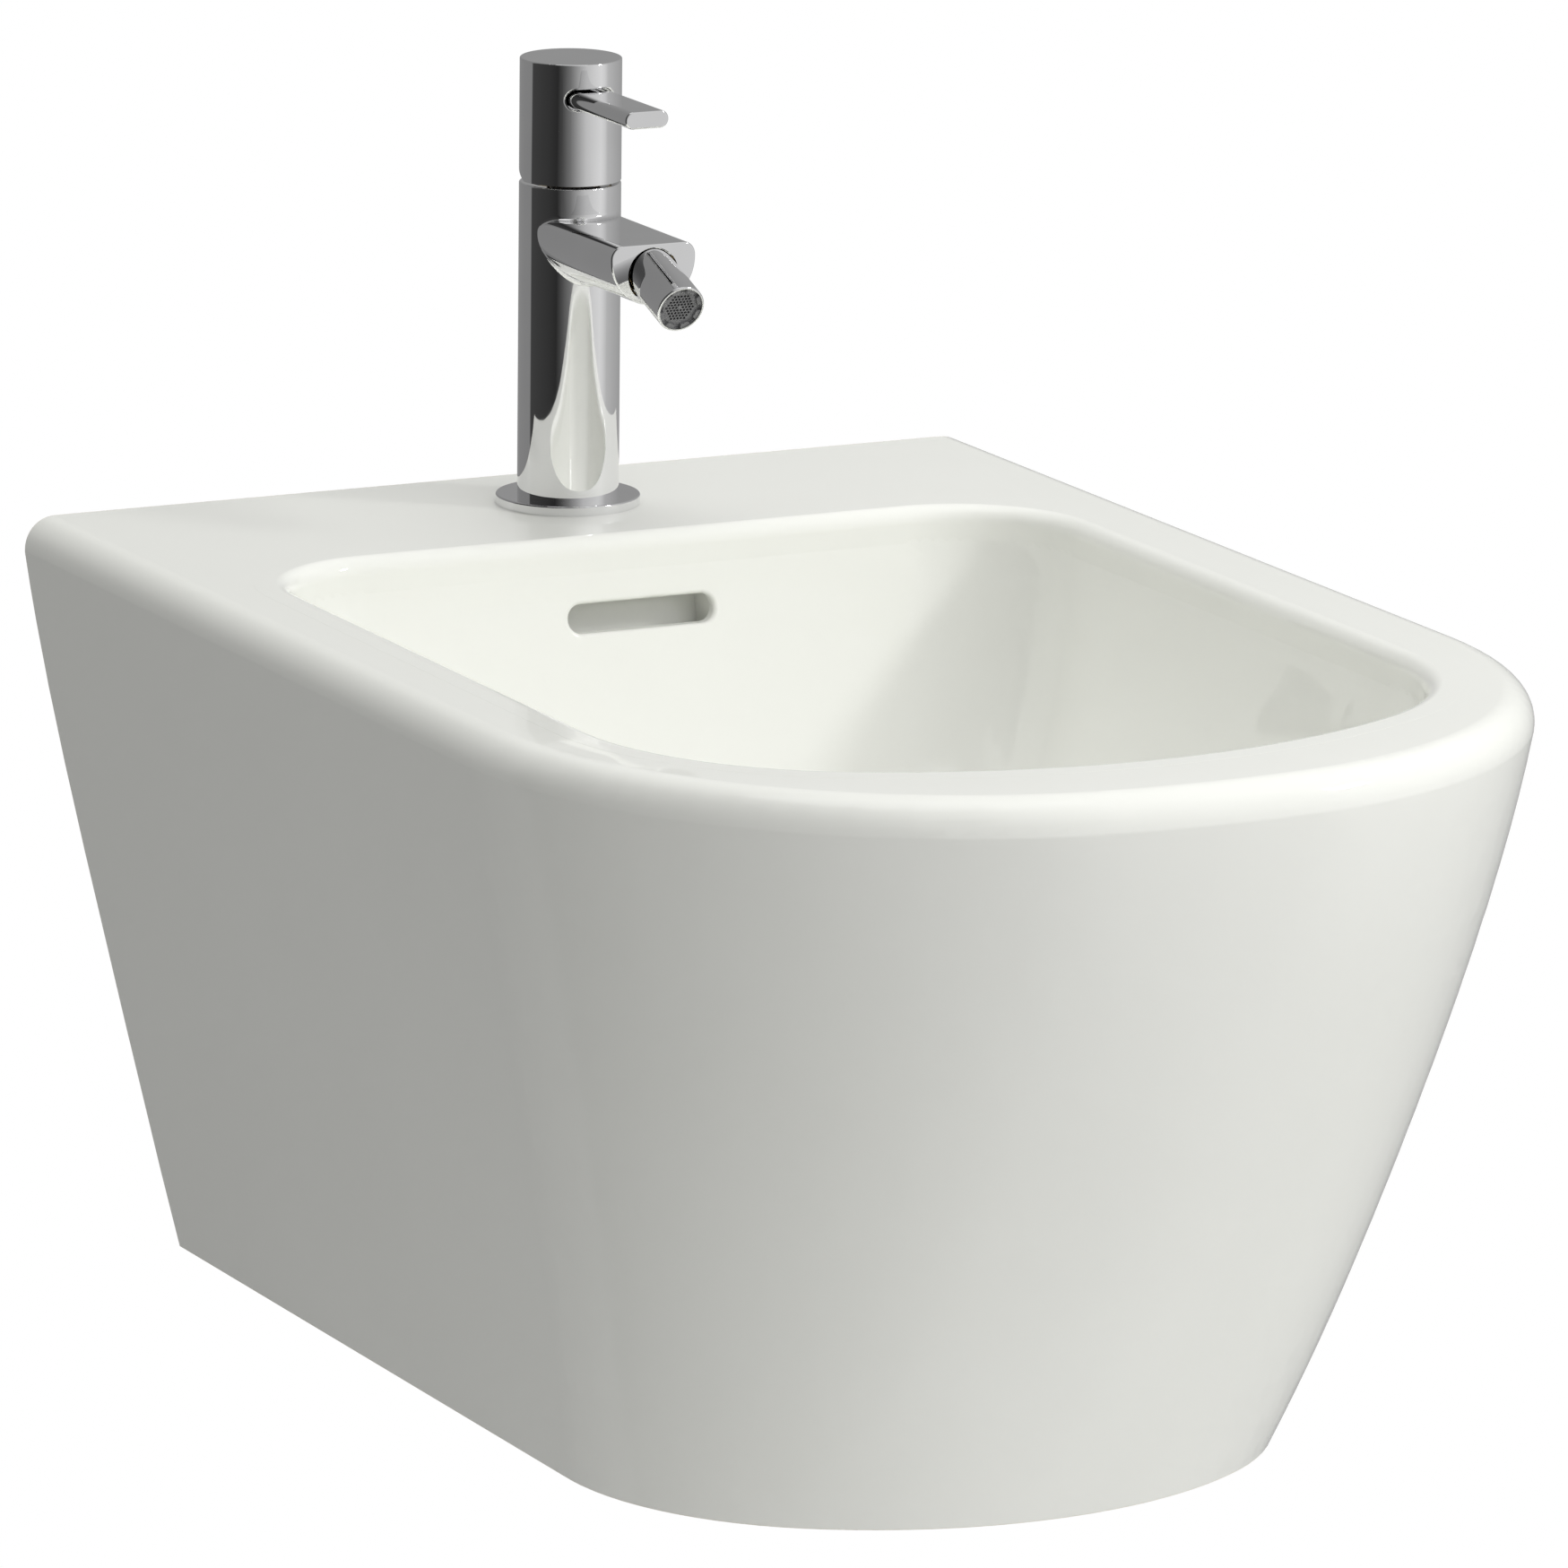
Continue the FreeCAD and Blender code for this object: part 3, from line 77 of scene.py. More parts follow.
@dataclass(frozen=True)
class Finish:
    """One surface finish, made of procedural nodes on object coordinates.

    Attributes:
        name: the material's name.
        light: the colour at the lightest of its slight variation.
        dark: the colour at the darkest of its slight variation.
        metallic: 1 for metal, 0 for everything else.
        smooth: the lowest roughness.
        rough: the highest roughness.
        patch: the size of the variation's patches, in metres.
        relief: the depth of the surface's fine unevenness, in metres.
        relief_size: the size of that unevenness, in metres.
        grain: how the fine detail runs.
        ior: the index of refraction.
        patch_detail: the detail in the variation's patches.
        wave_distortion: how far turned rings wander.
    """

    name: str
    light: Colour
    dark: Colour
    metallic: float
    smooth: float
    rough: float
    patch: float
    relief: float
    relief_size: float
    grain: Grain
    ior: float = 1.5
    patch_detail: float = 3.0
    wave_distortion: float = 0.6

    def material(self) -> bpy.types.Material:
        """Makes the finish's material, or finds it where it is already made.

        Returns:
            The finish's material.
        """
        made = bpy.data.materials.get(self.name)
        if made is not None:
            return made
        material = bpy.data.materials.new(self.name)
        material.use_nodes = True
        self._fill(material.node_tree)
        return material

    def _fill(self, tree: bpy.types.NodeTree) -> None:
        """Adds the finish's nodes to a new material.

        Args:
            tree: the material's nodes.
        """
        shader = tree.nodes["Principled BSDF"]
        shader.inputs["Metallic"].default_value = self.metallic
        shader.inputs["IOR"].default_value = self.ior
        place = tree.nodes.new("ShaderNodeTexCoord")
        patches = self._noise(tree, place, self.patch, self.patch_detail)
        shades = self._shades(tree, patches, self.dark, self.light)
        tree.links.new(shades.outputs["Color"], shader.inputs["Base Color"])
        spread = tree.nodes.new("ShaderNodeMapRange")
        spread.inputs["From Min"].default_value = NOISE_LOW
        spread.inputs["From Max"].default_value = NOISE_HIGH
        spread.inputs["To Min"].default_value = self.smooth
        spread.inputs["To Max"].default_value = self.rough
        tree.links.new(patches.outputs["Fac"], spread.inputs["Value"])
        tree.links.new(spread.outputs["Result"], shader.inputs["Roughness"])
        self._relief(tree, place, shader)

    def _noise(self, tree: bpy.types.NodeTree, place: bpy.types.Node, size: float,
               detail: float) -> bpy.types.Node:
        """Adds a noise on object coordinates.

        Args:
            tree: the material's nodes.
            place: the texture coordinates.
            size: the size of the noise's patches, in metres.
            detail: the noise's detail.

        Returns:
            The noise node.
        """
        noise = tree.nodes.new("ShaderNodeTexNoise")
        noise.inputs["Scale"].default_value = 1.0 / size
        noise.inputs["Detail"].default_value = detail
        tree.links.new(place.outputs["Object"], noise.inputs["Vector"])
        return noise

    def _shades(self, tree: bpy.types.NodeTree, noise: bpy.types.Node, dark: Colour,
                light: Colour) -> bpy.types.Node:
        """Adds a ramp between two colours over a noise.

        Args:
            tree: the material's nodes.
            noise: the noise that the ramp follows.
            dark: the colour at the noise's low end.
            light: the colour at the noise's high end.

        Returns:
            The ramp node.
        """
        ramp = tree.nodes.new("ShaderNodeValToRGB")
        ramp.color_ramp.elements[0].position = NOISE_LOW
        ramp.color_ramp.elements[0].color = (*dark, 1.0)
        ramp.color_ramp.elements[1].position = NOISE_HIGH
        ramp.color_ramp.elements[1].color = (*light, 1.0)
        tree.links.new(noise.outputs["Fac"], ramp.inputs["Fac"])
        return ramp

    def _relief(self, tree: bpy.types.NodeTree, place: bpy.types.Node, shader: bpy.types.Node) -> None:
        """Adds the fine unevenness of the surface.

        Args:
            tree: the material's nodes.
            place: the texture coordinates.
            shader: the surface shader.
        """
        bump = tree.nodes.new("ShaderNodeBump")
        bump.inputs["Strength"].default_value = 1.0
        bump.inputs["Distance"].default_value = self.relief
        if self.grain is Grain.TURNED:
            height = tree.nodes.new("ShaderNodeTexWave")
            height.bands_direction = "Z"
            height.inputs["Scale"].default_value = 1.0 / self.relief_size
            height.inputs["Distortion"].default_value = self.wave_distortion
            tree.links.new(place.outputs["Object"], height.inputs["Vector"])
        else:
            height = self._noise(tree, place, self.relief_size, RELIEF_DETAIL[self.grain])
        tree.links.new(height.outputs["Fac"], bump.inputs["Height"])
        tree.links.new(bump.outputs["Normal"], shader.inputs["Normal"])


@dataclass(frozen=True)
class GlazedClay(Finish):
    """A glaze that leaves the clay bare where the body meets the wall and where it stood in the kiln.

    Attributes:
        bare_light: the bare clay's lightest colour.
        bare_dark: the bare clay's darkest colour.
        bare_roughness: the bare clay's roughness.
        bare_grain: the size of the bare clay's grain, in metres.
        bare_detail: the detail in that grain.
        wall_y: the bare rear face lies behind this.
        foot_z: the bare underside lies below this.
    """

    bare_light: Colour = (0.80, 0.775, 0.70)
    bare_dark: Colour = (0.70, 0.665, 0.58)
    bare_roughness: float = 0.72
    bare_grain: float = 0.0018
    bare_detail: float = 4.0
    wall_y: float = -0.0003
    foot_z: float = -0.1769

    def _fill(self, tree: bpy.types.NodeTree) -> None:
        """Adds the glaze's nodes and bares the clay on the rear face and the underside.

        Args:
            tree: the material's nodes.
        """
        super()._fill(tree)
        shader = tree.nodes["Principled BSDF"]
        place = tree.nodes.new("ShaderNodeTexCoord")
        bare = self._bare_faces(tree, place)
        grain = self._noise(tree, place, self.bare_grain, self.bare_detail)
        clay = self._shades(tree, grain, self.bare_dark, self.bare_light)
        colour = self._mix(tree, shader.inputs["Base Color"], MixKind.COLOUR, bare)
        tree.links.new(clay.outputs["Color"], colour)
        roughness = self._mix(tree, shader.inputs["Roughness"], MixKind.NUMBER, bare)
        roughness.default_value = self.bare_roughness

    def _bare_faces(self, tree: bpy.types.NodeTree, place: bpy.types.Node) -> bpy.types.NodeSocket:
        """Marks the rear face and the underside.

        Args:
            tree: the material's nodes.
            place: the texture coordinates.

        Returns:
            A value that is 1 on the bare faces and 0 elsewhere.
        """
        axes = tree.nodes.new("ShaderNodeSeparateXYZ")
        tree.links.new(place.outputs["Object"], axes.inputs["Vector"])
        marks = []
        for axis, test, limit in (("Y", "GREATER_THAN", self.wall_y), ("Z", "LESS_THAN", self.foot_z)):
            mark = tree.nodes.new("ShaderNodeMath")
            mark.operation = test
            mark.inputs[1].default_value = limit
            tree.links.new(axes.outputs[axis], mark.inputs[0])
            marks.append(mark.outputs[0])
        either = tree.nodes.new("ShaderNodeMath")
        either.operation = "MAXIMUM"
        tree.links.new(marks[0], either.inputs[0])
        tree.links.new(marks[1], either.inputs[1])
        return either.outputs[0]

    def _mix(self, tree: bpy.types.NodeTree, socket: bpy.types.NodeSocket, kind: MixKind,
             share: bpy.types.NodeSocket) -> bpy.types.NodeSocket:
        """Puts a mix in front of a shader's socket.

        Args:
            tree: the material's nodes.
            socket: the shader's socket, which has a link.
            kind: what is mixed.
            share: the value that chooses the new side.

        Returns:
            The mix's socket for the new side.
        """
        data_type, first, result = kind.value
        mix = tree.nodes.new("ShaderNodeMix")
        mix.data_type = data_type
        tree.links.new(share, mix.inputs[0])
        tree.links.new(socket.links[0].from_socket, mix.inputs[first])
        tree.links.new(mix.outputs[result], socket)
        return mix.inputs[first + 1]


WHITE_GLAZE = GlazedClay(
    name="white_glaze", light=(0.862, 0.868, 0.822), dark=(0.846, 0.852, 0.806), metallic=0.0,
    smooth=0.02, rough=0.04, patch=0.15, relief=0.00006, relief_size=0.05, grain=Grain.GLAZE, ior=1.52)
BRIGHT_CHROME = Finish(
    name="bright_chrome", light=(0.83, 0.83, 0.835), dark=(0.80, 0.80, 0.805), metallic=1.0,
    smooth=0.02, rough=0.04, patch=0.02, relief=0.0000004, relief_size=0.004, grain=Grain.POLISH)
PLAIN_STEEL = Finish(
    name="plain_steel", light=(0.60, 0.60, 0.61), dark=(0.52, 0.52, 0.53), metallic=1.0,
    smooth=0.22, rough=0.34, patch=0.004, relief=0.00002, relief_size=0.0006, grain=Grain.TURNED)
TURNED_BRASS = Finish(
    name="turned_brass", light=(0.78, 0.60, 0.30), dark=(0.68, 0.50, 0.24), metallic=1.0,
    smooth=0.18, rough=0.30, patch=0.005, relief=0.00002, relief_size=0.0006, grain=Grain.TURNED)
BLACK_RUBBER = Finish(
    name="black_rubber", light=(0.035, 0.035, 0.035), dark=(0.022, 0.022, 0.023), metallic=0.0,
    smooth=0.55, rough=0.75, patch=0.003, relief=0.00003, relief_size=0.0008, grain=Grain.MOULDED)
LAPPED_CERAMIC = Finish(
    name="lapped_ceramic", light=(0.82, 0.80, 0.76), dark=(0.78, 0.76, 0.72), metallic=0.0,
    smooth=0.12, rough=0.2, patch=0.003, relief=0.00001, relief_size=0.001, grain=Grain.POLISH, ior=1.7)
WHITE_PLASTIC = Finish(
    name="moulded_white", light=(0.80, 0.80, 0.79), dark=(0.76, 0.76, 0.75), metallic=0.0,
    smooth=0.35, rough=0.48, patch=0.006, relief=0.00002, relief_size=0.0012, grain=Grain.MOULDED)
GREY_PLASTIC = Finish(
    name="moulded_grey", light=(0.17, 0.17, 0.175), dark=(0.14, 0.14, 0.145), metallic=0.0,
    smooth=0.32, rough=0.46, patch=0.003, relief=0.00002, relief_size=0.0008, grain=Grain.MOULDED)


def smooth_shading(piece: bpy.types.Object) -> None:
    """Shades a piece's curved faces smoothly and keeps its edges sharp.

    Args:
        piece: the piece's object.
    """
    piece.data.shade_smooth()
    weld = piece.modifiers.new("weld", "WELD")
    weld.merge_threshold = WELD_GAP
    split = piece.modifiers.new("split", "EDGE_SPLIT")
    split.split_angle = math.radians(CREASE_DEG)
    split.use_edge_sharp = False
    level = piece.modifiers.new("level", "WEIGHTED_NORMAL")
    level.mode = "FACE_AREA"


def new_piece(name: str, shape: bmesh.types.BMesh, finish: Finish,
              body: str) -> bpy.types.Object:
    """Turns a shape into a piece of the object.

    Args:
        name: the piece's name.
        shape: its shape, which is used up.
        finish: its surface finish.
        body: the body that it rides.

    Returns:
        The new piece.
    """
    bmesh.ops.recalc_face_normals(shape, faces=shape.faces[:])
    mesh = bpy.data.meshes.new(name)
    shape.to_mesh(mesh)
    shape.free()
    mesh.materials.append(finish.material())
    piece = bpy.data.objects.new(name, mesh)
    bpy.context.scene.collection.objects.link(piece)
    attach(piece, body)
    LOG.info("%s: %d faces in %s", name, len(mesh.polygons), finish.name)
    return piece


@dataclass
class CadGroup:
    """A sub-assembly of CAD nodes that share a finish.

    Attributes:
        name: what the sub-assembly is.
        finish: the surface finish of its nodes.
        nodes: the CAD nodes.
    """

    name: str
    finish: Finish
    nodes: tuple[str, ...]

    def dress(self) -> None:
        """Gives every node the finish and smooth shading."""
        material = self.finish.material()
        for node in self.nodes:
            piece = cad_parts[node]
            piece.data.materials.clear()
            piece.data.materials.append(material)
            smooth_shading(piece)
            LOG.info("%s: %s in %s", self.name, node, self.finish.name)


CAD_GROUPS = (
    CadGroup("ceramic", WHITE_GLAZE, ("ceramic_body",)),
    CadGroup("tap", BRIGHT_CHROME, ("base_ring", "tap_body", "handle_head", "lever_bar", "nozzle_sleeve")),
    CadGroup("waste", BRIGHT_CHROME, ("waste_body", "waste_plug", "tailpipe", "tail_nut")),
    CadGroup("steel", PLAIN_STEEL, ("mounting_stud", "horseshoe_washer", "stem_pin", "lever_screw")),
    CadGroup("brass", TURNED_BRASS, ("mounting_nut", "cartridge_nut", "swivel_stud", "nozzle_seat",
                                     "lever_stem")),
    CadGroup("seals", BLACK_RUBBER, ("base_gasket", "horseshoe_seal", "port_seal_left", "port_seal_right",
                                     "stud_seal", "aerator_gasket", "waste_top_gasket",
                                     "waste_bottom_gasket", "plug_seal", "tail_seal")),
    CadGroup("discs", LAPPED_CERAMIC, ("fixed_disc", "moving_disc")),
    CadGroup("white plastic", WHITE_PLASTIC, ("fixing_sleeve_left", "fixing_sleeve_right", "waste_nut",
                                              "plunger_housing")),
    CadGroup("grey plastic", GREY_PLASTIC, ("cartridge_base", "cartridge_housing", "cartridge_rotor",
                                            "disc_carrier", "nozzle_liner", "aerator_housing",
                                            "aerator_insert", "plunger_rod")),
)


@dataclass(frozen=True)
class Straight:
    """A straight stretch of a path.

    Attributes:
        shift: how far it goes, in x and y.
    """

    shift: Pair

    def sweep(self, shape: bmesh.types.BMesh, edges: list[bmesh.types.BMEdge]) -> list[bmesh.types.BMEdge]:
        """Pulls a profile along the stretch.

        Args:
            shape: the shape that grows.
            edges: the profile at the start.

        Returns:
            The profile at the end.
        """
        swept = bmesh.ops.extrude_edge_only(shape, edges=edges)["geom"]
        ends = [item for item in swept if isinstance(item, bmesh.types.BMVert)]
        bmesh.ops.translate(shape, verts=ends, vec=(*self.shift, 0.0))
        lines = [item for item in swept if isinstance(item, bmesh.types.BMEdge)]
        return [line for line in lines if line.verts[0] in ends and line.verts[1] in ends]


@dataclass(frozen=True)
class Bend:
    """A round stretch of a path.

    Attributes:
        centre: the middle of the bend, in x and y.
        angle: how far it turns, positive to the left.
        step_deg: the turn of one facet.
    """

    centre: Pair
    angle: float
    step_deg: float = 1.5

    def sweep(self, shape: bmesh.types.BMesh, edges: list[bmesh.types.BMEdge]) -> list[bmesh.types.BMEdge]:
        """Spins a profile round the bend.

        Args:
            shape: the shape that grows.
            edges: the profile at the start.

        Returns:
            The profile at the end.
        """
        steps = math.ceil(abs(math.degrees(self.angle)) / self.step_deg)
        verts = list(dict.fromkeys(vert for edge in edges for vert in edge.verts))
        spun = bmesh.ops.spin(shape, geom=verts + edges, cent=(*self.centre, 0.0), axis=(0.0, 0.0, 1.0),
                              dvec=(0.0, 0.0, 0.0), angle=self.angle, steps=steps, use_merge=False)
        return [item for item in spun["geom_last"] if isinstance(item, bmesh.types.BMEdge)]


@dataclass(frozen=True)
class FrontCurve:
    """The round front of an outline: two corner bends and the flatter bend between them.

    Attributes:
        half_width: half the outline's width.
        front: the outline's front, in y.
        setback: how far the corner bends' middles stand from the middle plane.
        flatness: how much larger than the half width the front bend's radius is.
    """

    half_width: float
    front: float
    setback: float
    flatness: float

    def middle(self) -> float:
        """Gives the front bend's middle, in y."""
        return self.front + self.half_width + self.flatness

    def side_end(self) -> float:
        """Gives where the straight sides end, in y."""
        gap = self.flatness + self.setback
        return self.middle() - math.sqrt(gap ** 2 - self.setback ** 2)

    def bends(self) -> list[Bend]:
        """Works out the bends of the front.

        Returns:
            The three bends, from the right side to the left side.
        """
        turn = math.atan2(self.side_end() - self.middle(), self.setback)
        return [
            Bend((self.setback, self.side_end()), turn),
            Bend((0.0, self.middle()), -math.pi - 2.0 * turn),
            Bend((-self.setback, self.side_end()), turn),
        ]


@dataclass(frozen=True)
class MouthEdge:
    """The edge of the bowl's mouth: a crisper rounding that lies over the body's fuller one.

    Attributes:
        front: the front curve of the mouth.
        back: the back of the mouth, in y.
        back_radius: the radius of the mouth's back corners.
        body_rounding: the radius of the body's rounding under the edge.
        rounding: the radius of the edge.
        depth: how far the edge reaches down the bowl's wall.
        top_cover: how far the edge stands out of the flat rim.
        wall_cover: how far the rounding's end stands out of the bowl's wall.
        foot_sink: how far the foot lies behind the bowl's wall.
        overlap: how far it runs in over the flat rim and down into it.
        facets: the facets of the rounding.
    """

    front: FrontCurve = FrontCurve(half_width=0.1435, front=-0.472, setback=0.0515, flatness=0.0605)
    back: float = -0.1064
    back_radius: float = 0.042
    body_rounding: float = 0.011
    rounding: float = 0.0055
    depth: float = 0.0145
    top_cover: float = 0.00002
    wall_cover: float = 0.00012
    foot_sink: float = 0.00002
    overlap: float = 0.002
    facets: int = 14

    def build(self) -> None:
        """Runs the edge's section round the mouth."""
        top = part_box("ceramic_body")[1][2]
        shape = bmesh.new()
        edges = self._draw(shape, top)
        for stretch in self._path():
            edges = stretch.sweep(shape, edges)
        bmesh.ops.remove_doubles(shape, verts=shape.verts[:], dist=SEAM_GAP)
        smooth_shading(new_piece("rim_inner_edge", shape, WHITE_GLAZE, "basin"))

    def _path(self) -> list[Straight | Bend]:
        """Works out the way round the mouth, from the middle of its back and back again.

        Returns:
            The stretches of the path.
        """
        flat_half = self.front.half_width - self.back_radius
        bend_y = self.back - self.back_radius
        side = self.front.side_end() - bend_y
        quarter = -math.pi / 2.0
        return [
            Straight((flat_half, 0.0)),
            Bend((flat_half, bend_y), quarter),
            Straight((0.0, side)),
            *self.front.bends(),
            Straight((0.0, -side)),
            Bend((-flat_half, bend_y), quarter),
            Straight((flat_half, 0.0)),
        ]

    def _section(self) -> list[Pair]:
        """Works out the edge's section.

        Returns:
            The section's points: the distance behind the bowl's wall, and the height over the rim.
        """
        rim_end = self.body_rounding + self.overlap
        points = [(rim_end, -self.overlap), (rim_end, self.top_cover)]
        for step in range(self.facets + 1):
            turn = step / self.facets * math.pi / 2.0
            points.append((self.rounding - (self.rounding + self.wall_cover) * math.sin(turn),
                           -self.rounding + (self.rounding + self.top_cover) * math.cos(turn)))
        return points + [(self.foot_sink, -self.depth), (self.rounding, -self.depth)]

    def _draw(self, shape: bmesh.types.BMesh, top: float) -> list[bmesh.types.BMEdge]:
        """Draws the section at the middle of the mouth's back.

        Args:
            shape: the shape that it is drawn in.
            top: the rim's height.

        Returns:
            The section's edges.
        """
        places = [(0.0, self.back + behind, top + height) for behind, height in self._section()]
        corners = [shape.verts.new(place) for place in places]
        return [shape.edges.new((corners[i - 1], corners[i])) for i in range(len(corners))]


@dataclass(frozen=True)
class ScrewThread:
    """A screw thread wound round a plain shank.

    Attributes:
        name: the thread's name.
        finish: its surface finish.
        slot: the name of a material slot; it is not used.
        centre: where the shank's axis stands, in x and y.
        radius: the shank's radius.
        low: the height of the thread's lower end.
        high: the height of its upper end.
        pitch: the rise of one turn.
        depth: how far the crest stands out.
        steps: the straight steps of one turn.
        flank: the height of one flank, as a share of the pitch.
        sink: how far the foot lies in the shank, as a share of the depth.
    """

    name: str
    finish: Finish
    slot: str
    centre: Pair
    radius: float
    low: float
    high: float
    pitch: float
    depth: float
    steps: int = 48
    flank: float = 0.42
    sink: float = 0.25

    def build(self) -> None:
        """Winds the thread's ridge up the shank and lets it ride the basin."""
        half = self.flank * self.pitch
        foot = self.radius - self.sink * self.depth
        crest = self.radius + self.depth
        corners = ((foot, self.low), (crest, self.low + half), (foot, self.low + 2.0 * half))
        x, y = self.centre
        shape = bmesh.new()
        profile = [shape.verts.new((x + reach, y, height)) for reach, height in corners]
        edges = [shape.edges.new((profile[i], profile[(i + 1) % 3])) for i in range(3)]
        turns = (self.high - self.low - 2.0 * half) / self.pitch
        count = round(turns * self.steps)
        rise = (0.0, 0.0, self.pitch / self.steps)
        bmesh.ops.spin(shape, geom=profile + edges, cent=(x, y, 0.0), axis=(0.0, 0.0, 1.0), dvec=rise,
                       angle=2.0 * math.pi * count / self.steps, steps=count)
        bmesh.ops.holes_fill(shape, edges=[edge for edge in shape.edges if edge.is_boundary], sides=3)
        new_piece(self.name, shape, self.finish, "basin")


THREADS = (
    ScrewThread("stud_thread", PLAIN_STEEL, "steel", centre=(0.0, -0.041), radius=0.004,
                low=0.0406, high=0.0478, pitch=0.00125, depth=0.0004),
    ScrewThread("waste_thread", BRIGHT_CHROME, "chrome", centre=(0.0, -0.247), radius=0.0209,
                low=-0.1016, high=-0.0902, pitch=0.002, depth=0.0007),
)


@dataclass(frozen=True)
class SoftLamp:
    """A soft square lamp that points at the middle of the object.

    Attributes:
        name: the lamp's name.
        place: where it hangs, from the middle of the object, in metres.
        size: the length of its sides.
        power: its power in watts.
        mirrored: whether polished surfaces mirror it.
    """

    name: str
    place: Place
    size: float
    power: float
    mirrored: bool = True

    def hang(self, aim: Vector) -> None:
        """Adds the lamp to the scene.

        Args:
            aim: the point that it is aimed at.
        """
        data = bpy.data.lights.new(self.name, "AREA")
        data.shape = "SQUARE"
        data.size = self.size
        data.energy = self.power
        lamp = bpy.data.objects.new(self.name, data)
        lamp.location = aim + Vector(self.place)
        lamp.rotation_mode = "QUATERNION"
        lamp.rotation_quaternion = (-Vector(self.place)).to_track_quat("-Z", "Y")
        lamp.visible_glossy = self.mirrored
        bpy.context.scene.collection.objects.link(lamp)


@dataclass
class Studio:
    """The floor, the lamps, the reflecting surround and the camera.

    Attributes:
        floor_z: the floor's height below the wall fixings, in metres.
        floor_centre: the middle of the round floor.
        floor_radius: the floor's radius, small enough to stay below the picture.
        floor_segments: the sides of the round floor.
        floor_shade: the floor's pale grey.
        floor_roughness: the floor's roughness.
        camera_place: where the camera stands.
        camera_right: the picture's right.
        camera_down: the picture's downward way.
        lens: the focal length in millimetres.
        picture_width: the width of the picture behind the lens, in millimetres.
        camera_reach: the nearest and the farthest distance that the camera sees.
        ambient: the world's strength on matt surfaces.
        aim: the point that the lamps are aimed at.
        lamps: the soft lamps.
        surround_radius: the radius of the band that polished surfaces mirror.
        surround_low: the band's lower edge.
        surround_high: the band's upper edge.
        surround_segments: the sides of the band.
        surround_levels: the band's brightness at angles in degrees from the camera, positive to the right.
    """

    floor_z: float = -0.315
    floor_centre: Pair = (0.0, -0.45)
    floor_radius: float = 0.42
    floor_segments: int = 64
    floor_shade: float = 0.85
    floor_roughness: float = 0.8
    camera_place: Place = (-1.745317, -3.691735, 0.927818)
    camera_right: Way = (0.89470732, -0.44651485, 0.011104)
    camera_down: Way = (-0.09167496, -0.207912, -0.97384203)
    lens: float = 276.983
    picture_width: float = 36.0
    camera_reach: Pair = (0.1, 50.0)
    ambient: float = 0.39
    aim: Place = (0.0, -0.26, 0.0)
    lamps: tuple[SoftLamp, ...] = (
        SoftLamp("front", (0.8, -2.0, 0.75), size=2.2, power=8.3),
        SoftLamp("front_low", (0.6, -2.2, 0.2), size=2.0, power=8.3),
        SoftLamp("right", (2.1, -0.8, 0.9), size=2.2, power=2.4),
        SoftLamp("above_front", (0.2, -1.3, 2.0), size=2.0, power=17.0, mirrored=False),
        SoftLamp("above_back", (0.2, 1.2, 1.8), size=2.0, power=25.5, mirrored=False),
        SoftLamp("sharp", (1.1, -0.77, 0.98), size=0.2, power=6.6),
    )
    surround_radius: float = 1.7
    surround_low: float = -9.0
    surround_high: float = 5.0
    surround_segments: int = 96
    surround_levels: tuple[Pair, ...] = (
        (-180.0, 0.31), (-147.0, 0.26), (-97.0, 0.245), (-94.0, 0.055), (-47.0, 0.038), (-28.0, 0.026),
        (-14.0, 0.085), (2.0, 0.195), (18.0, 0.38), (35.0, 0.60), (52.0, 0.70), (71.0, 0.79), (80.0, 0.72),
        (92.0, 0.53), (119.0, 0.45), (179.0, 0.31),
    )

    def build(self) -> None:
        """Makes the whole studio."""
        self._world()
        self._floor()
        self._surround()
        for lamp in self.lamps:
            lamp.hang(Vector(self.aim))
        self._camera()

    def _world(self) -> None:
        """Makes a world that the camera and mirrors see as white, and that gives a plain soft light."""
        world = bpy.data.worlds.new("studio")
        bpy.context.scene.world = world
        world.use_nodes = True
        tree = world.node_tree
        ground = tree.nodes["Background"]
        ground.inputs["Color"].default_value = (1.0, 1.0, 1.0, 1.0)
        path = tree.nodes.new("ShaderNodeLightPath")
        seen = tree.nodes.new("ShaderNodeMath")
        seen.operation = "MAXIMUM"
        tree.links.new(path.outputs["Is Camera Ray"], seen.inputs[0])
        tree.links.new(path.outputs["Is Glossy Ray"], seen.inputs[1])
        through = tree.nodes.new("ShaderNodeMath")
        through.operation = "MAXIMUM"
        tree.links.new(seen.outputs[0], through.inputs[0])
        tree.links.new(path.outputs["Is Transmission Ray"], through.inputs[1])
        level = tree.nodes.new("ShaderNodeMapRange")
        level.inputs["To Min"].default_value = self.ambient
        level.inputs["To Max"].default_value = 1.0
        tree.links.new(through.outputs[0], level.inputs["Value"])
        tree.links.new(level.outputs["Result"], ground.inputs["Strength"])

    def _stage_piece(self, name: str, shape: bmesh.types.BMesh,
                     material: bpy.types.Material) -> bpy.types.Object:
        """Turns a shape into an object of the stage.

        Args:
            name: the object's name.
            shape: its shape, which is used up.
            material: its material.

        Returns:
            The new object.
        """
        mesh = bpy.data.meshes.new(name)
        shape.to_mesh(mesh)
        shape.free()
        mesh.materials.append(material)
        piece = bpy.data.objects.new(name, mesh)
        bpy.context.scene.collection.objects.link(piece)
        return piece

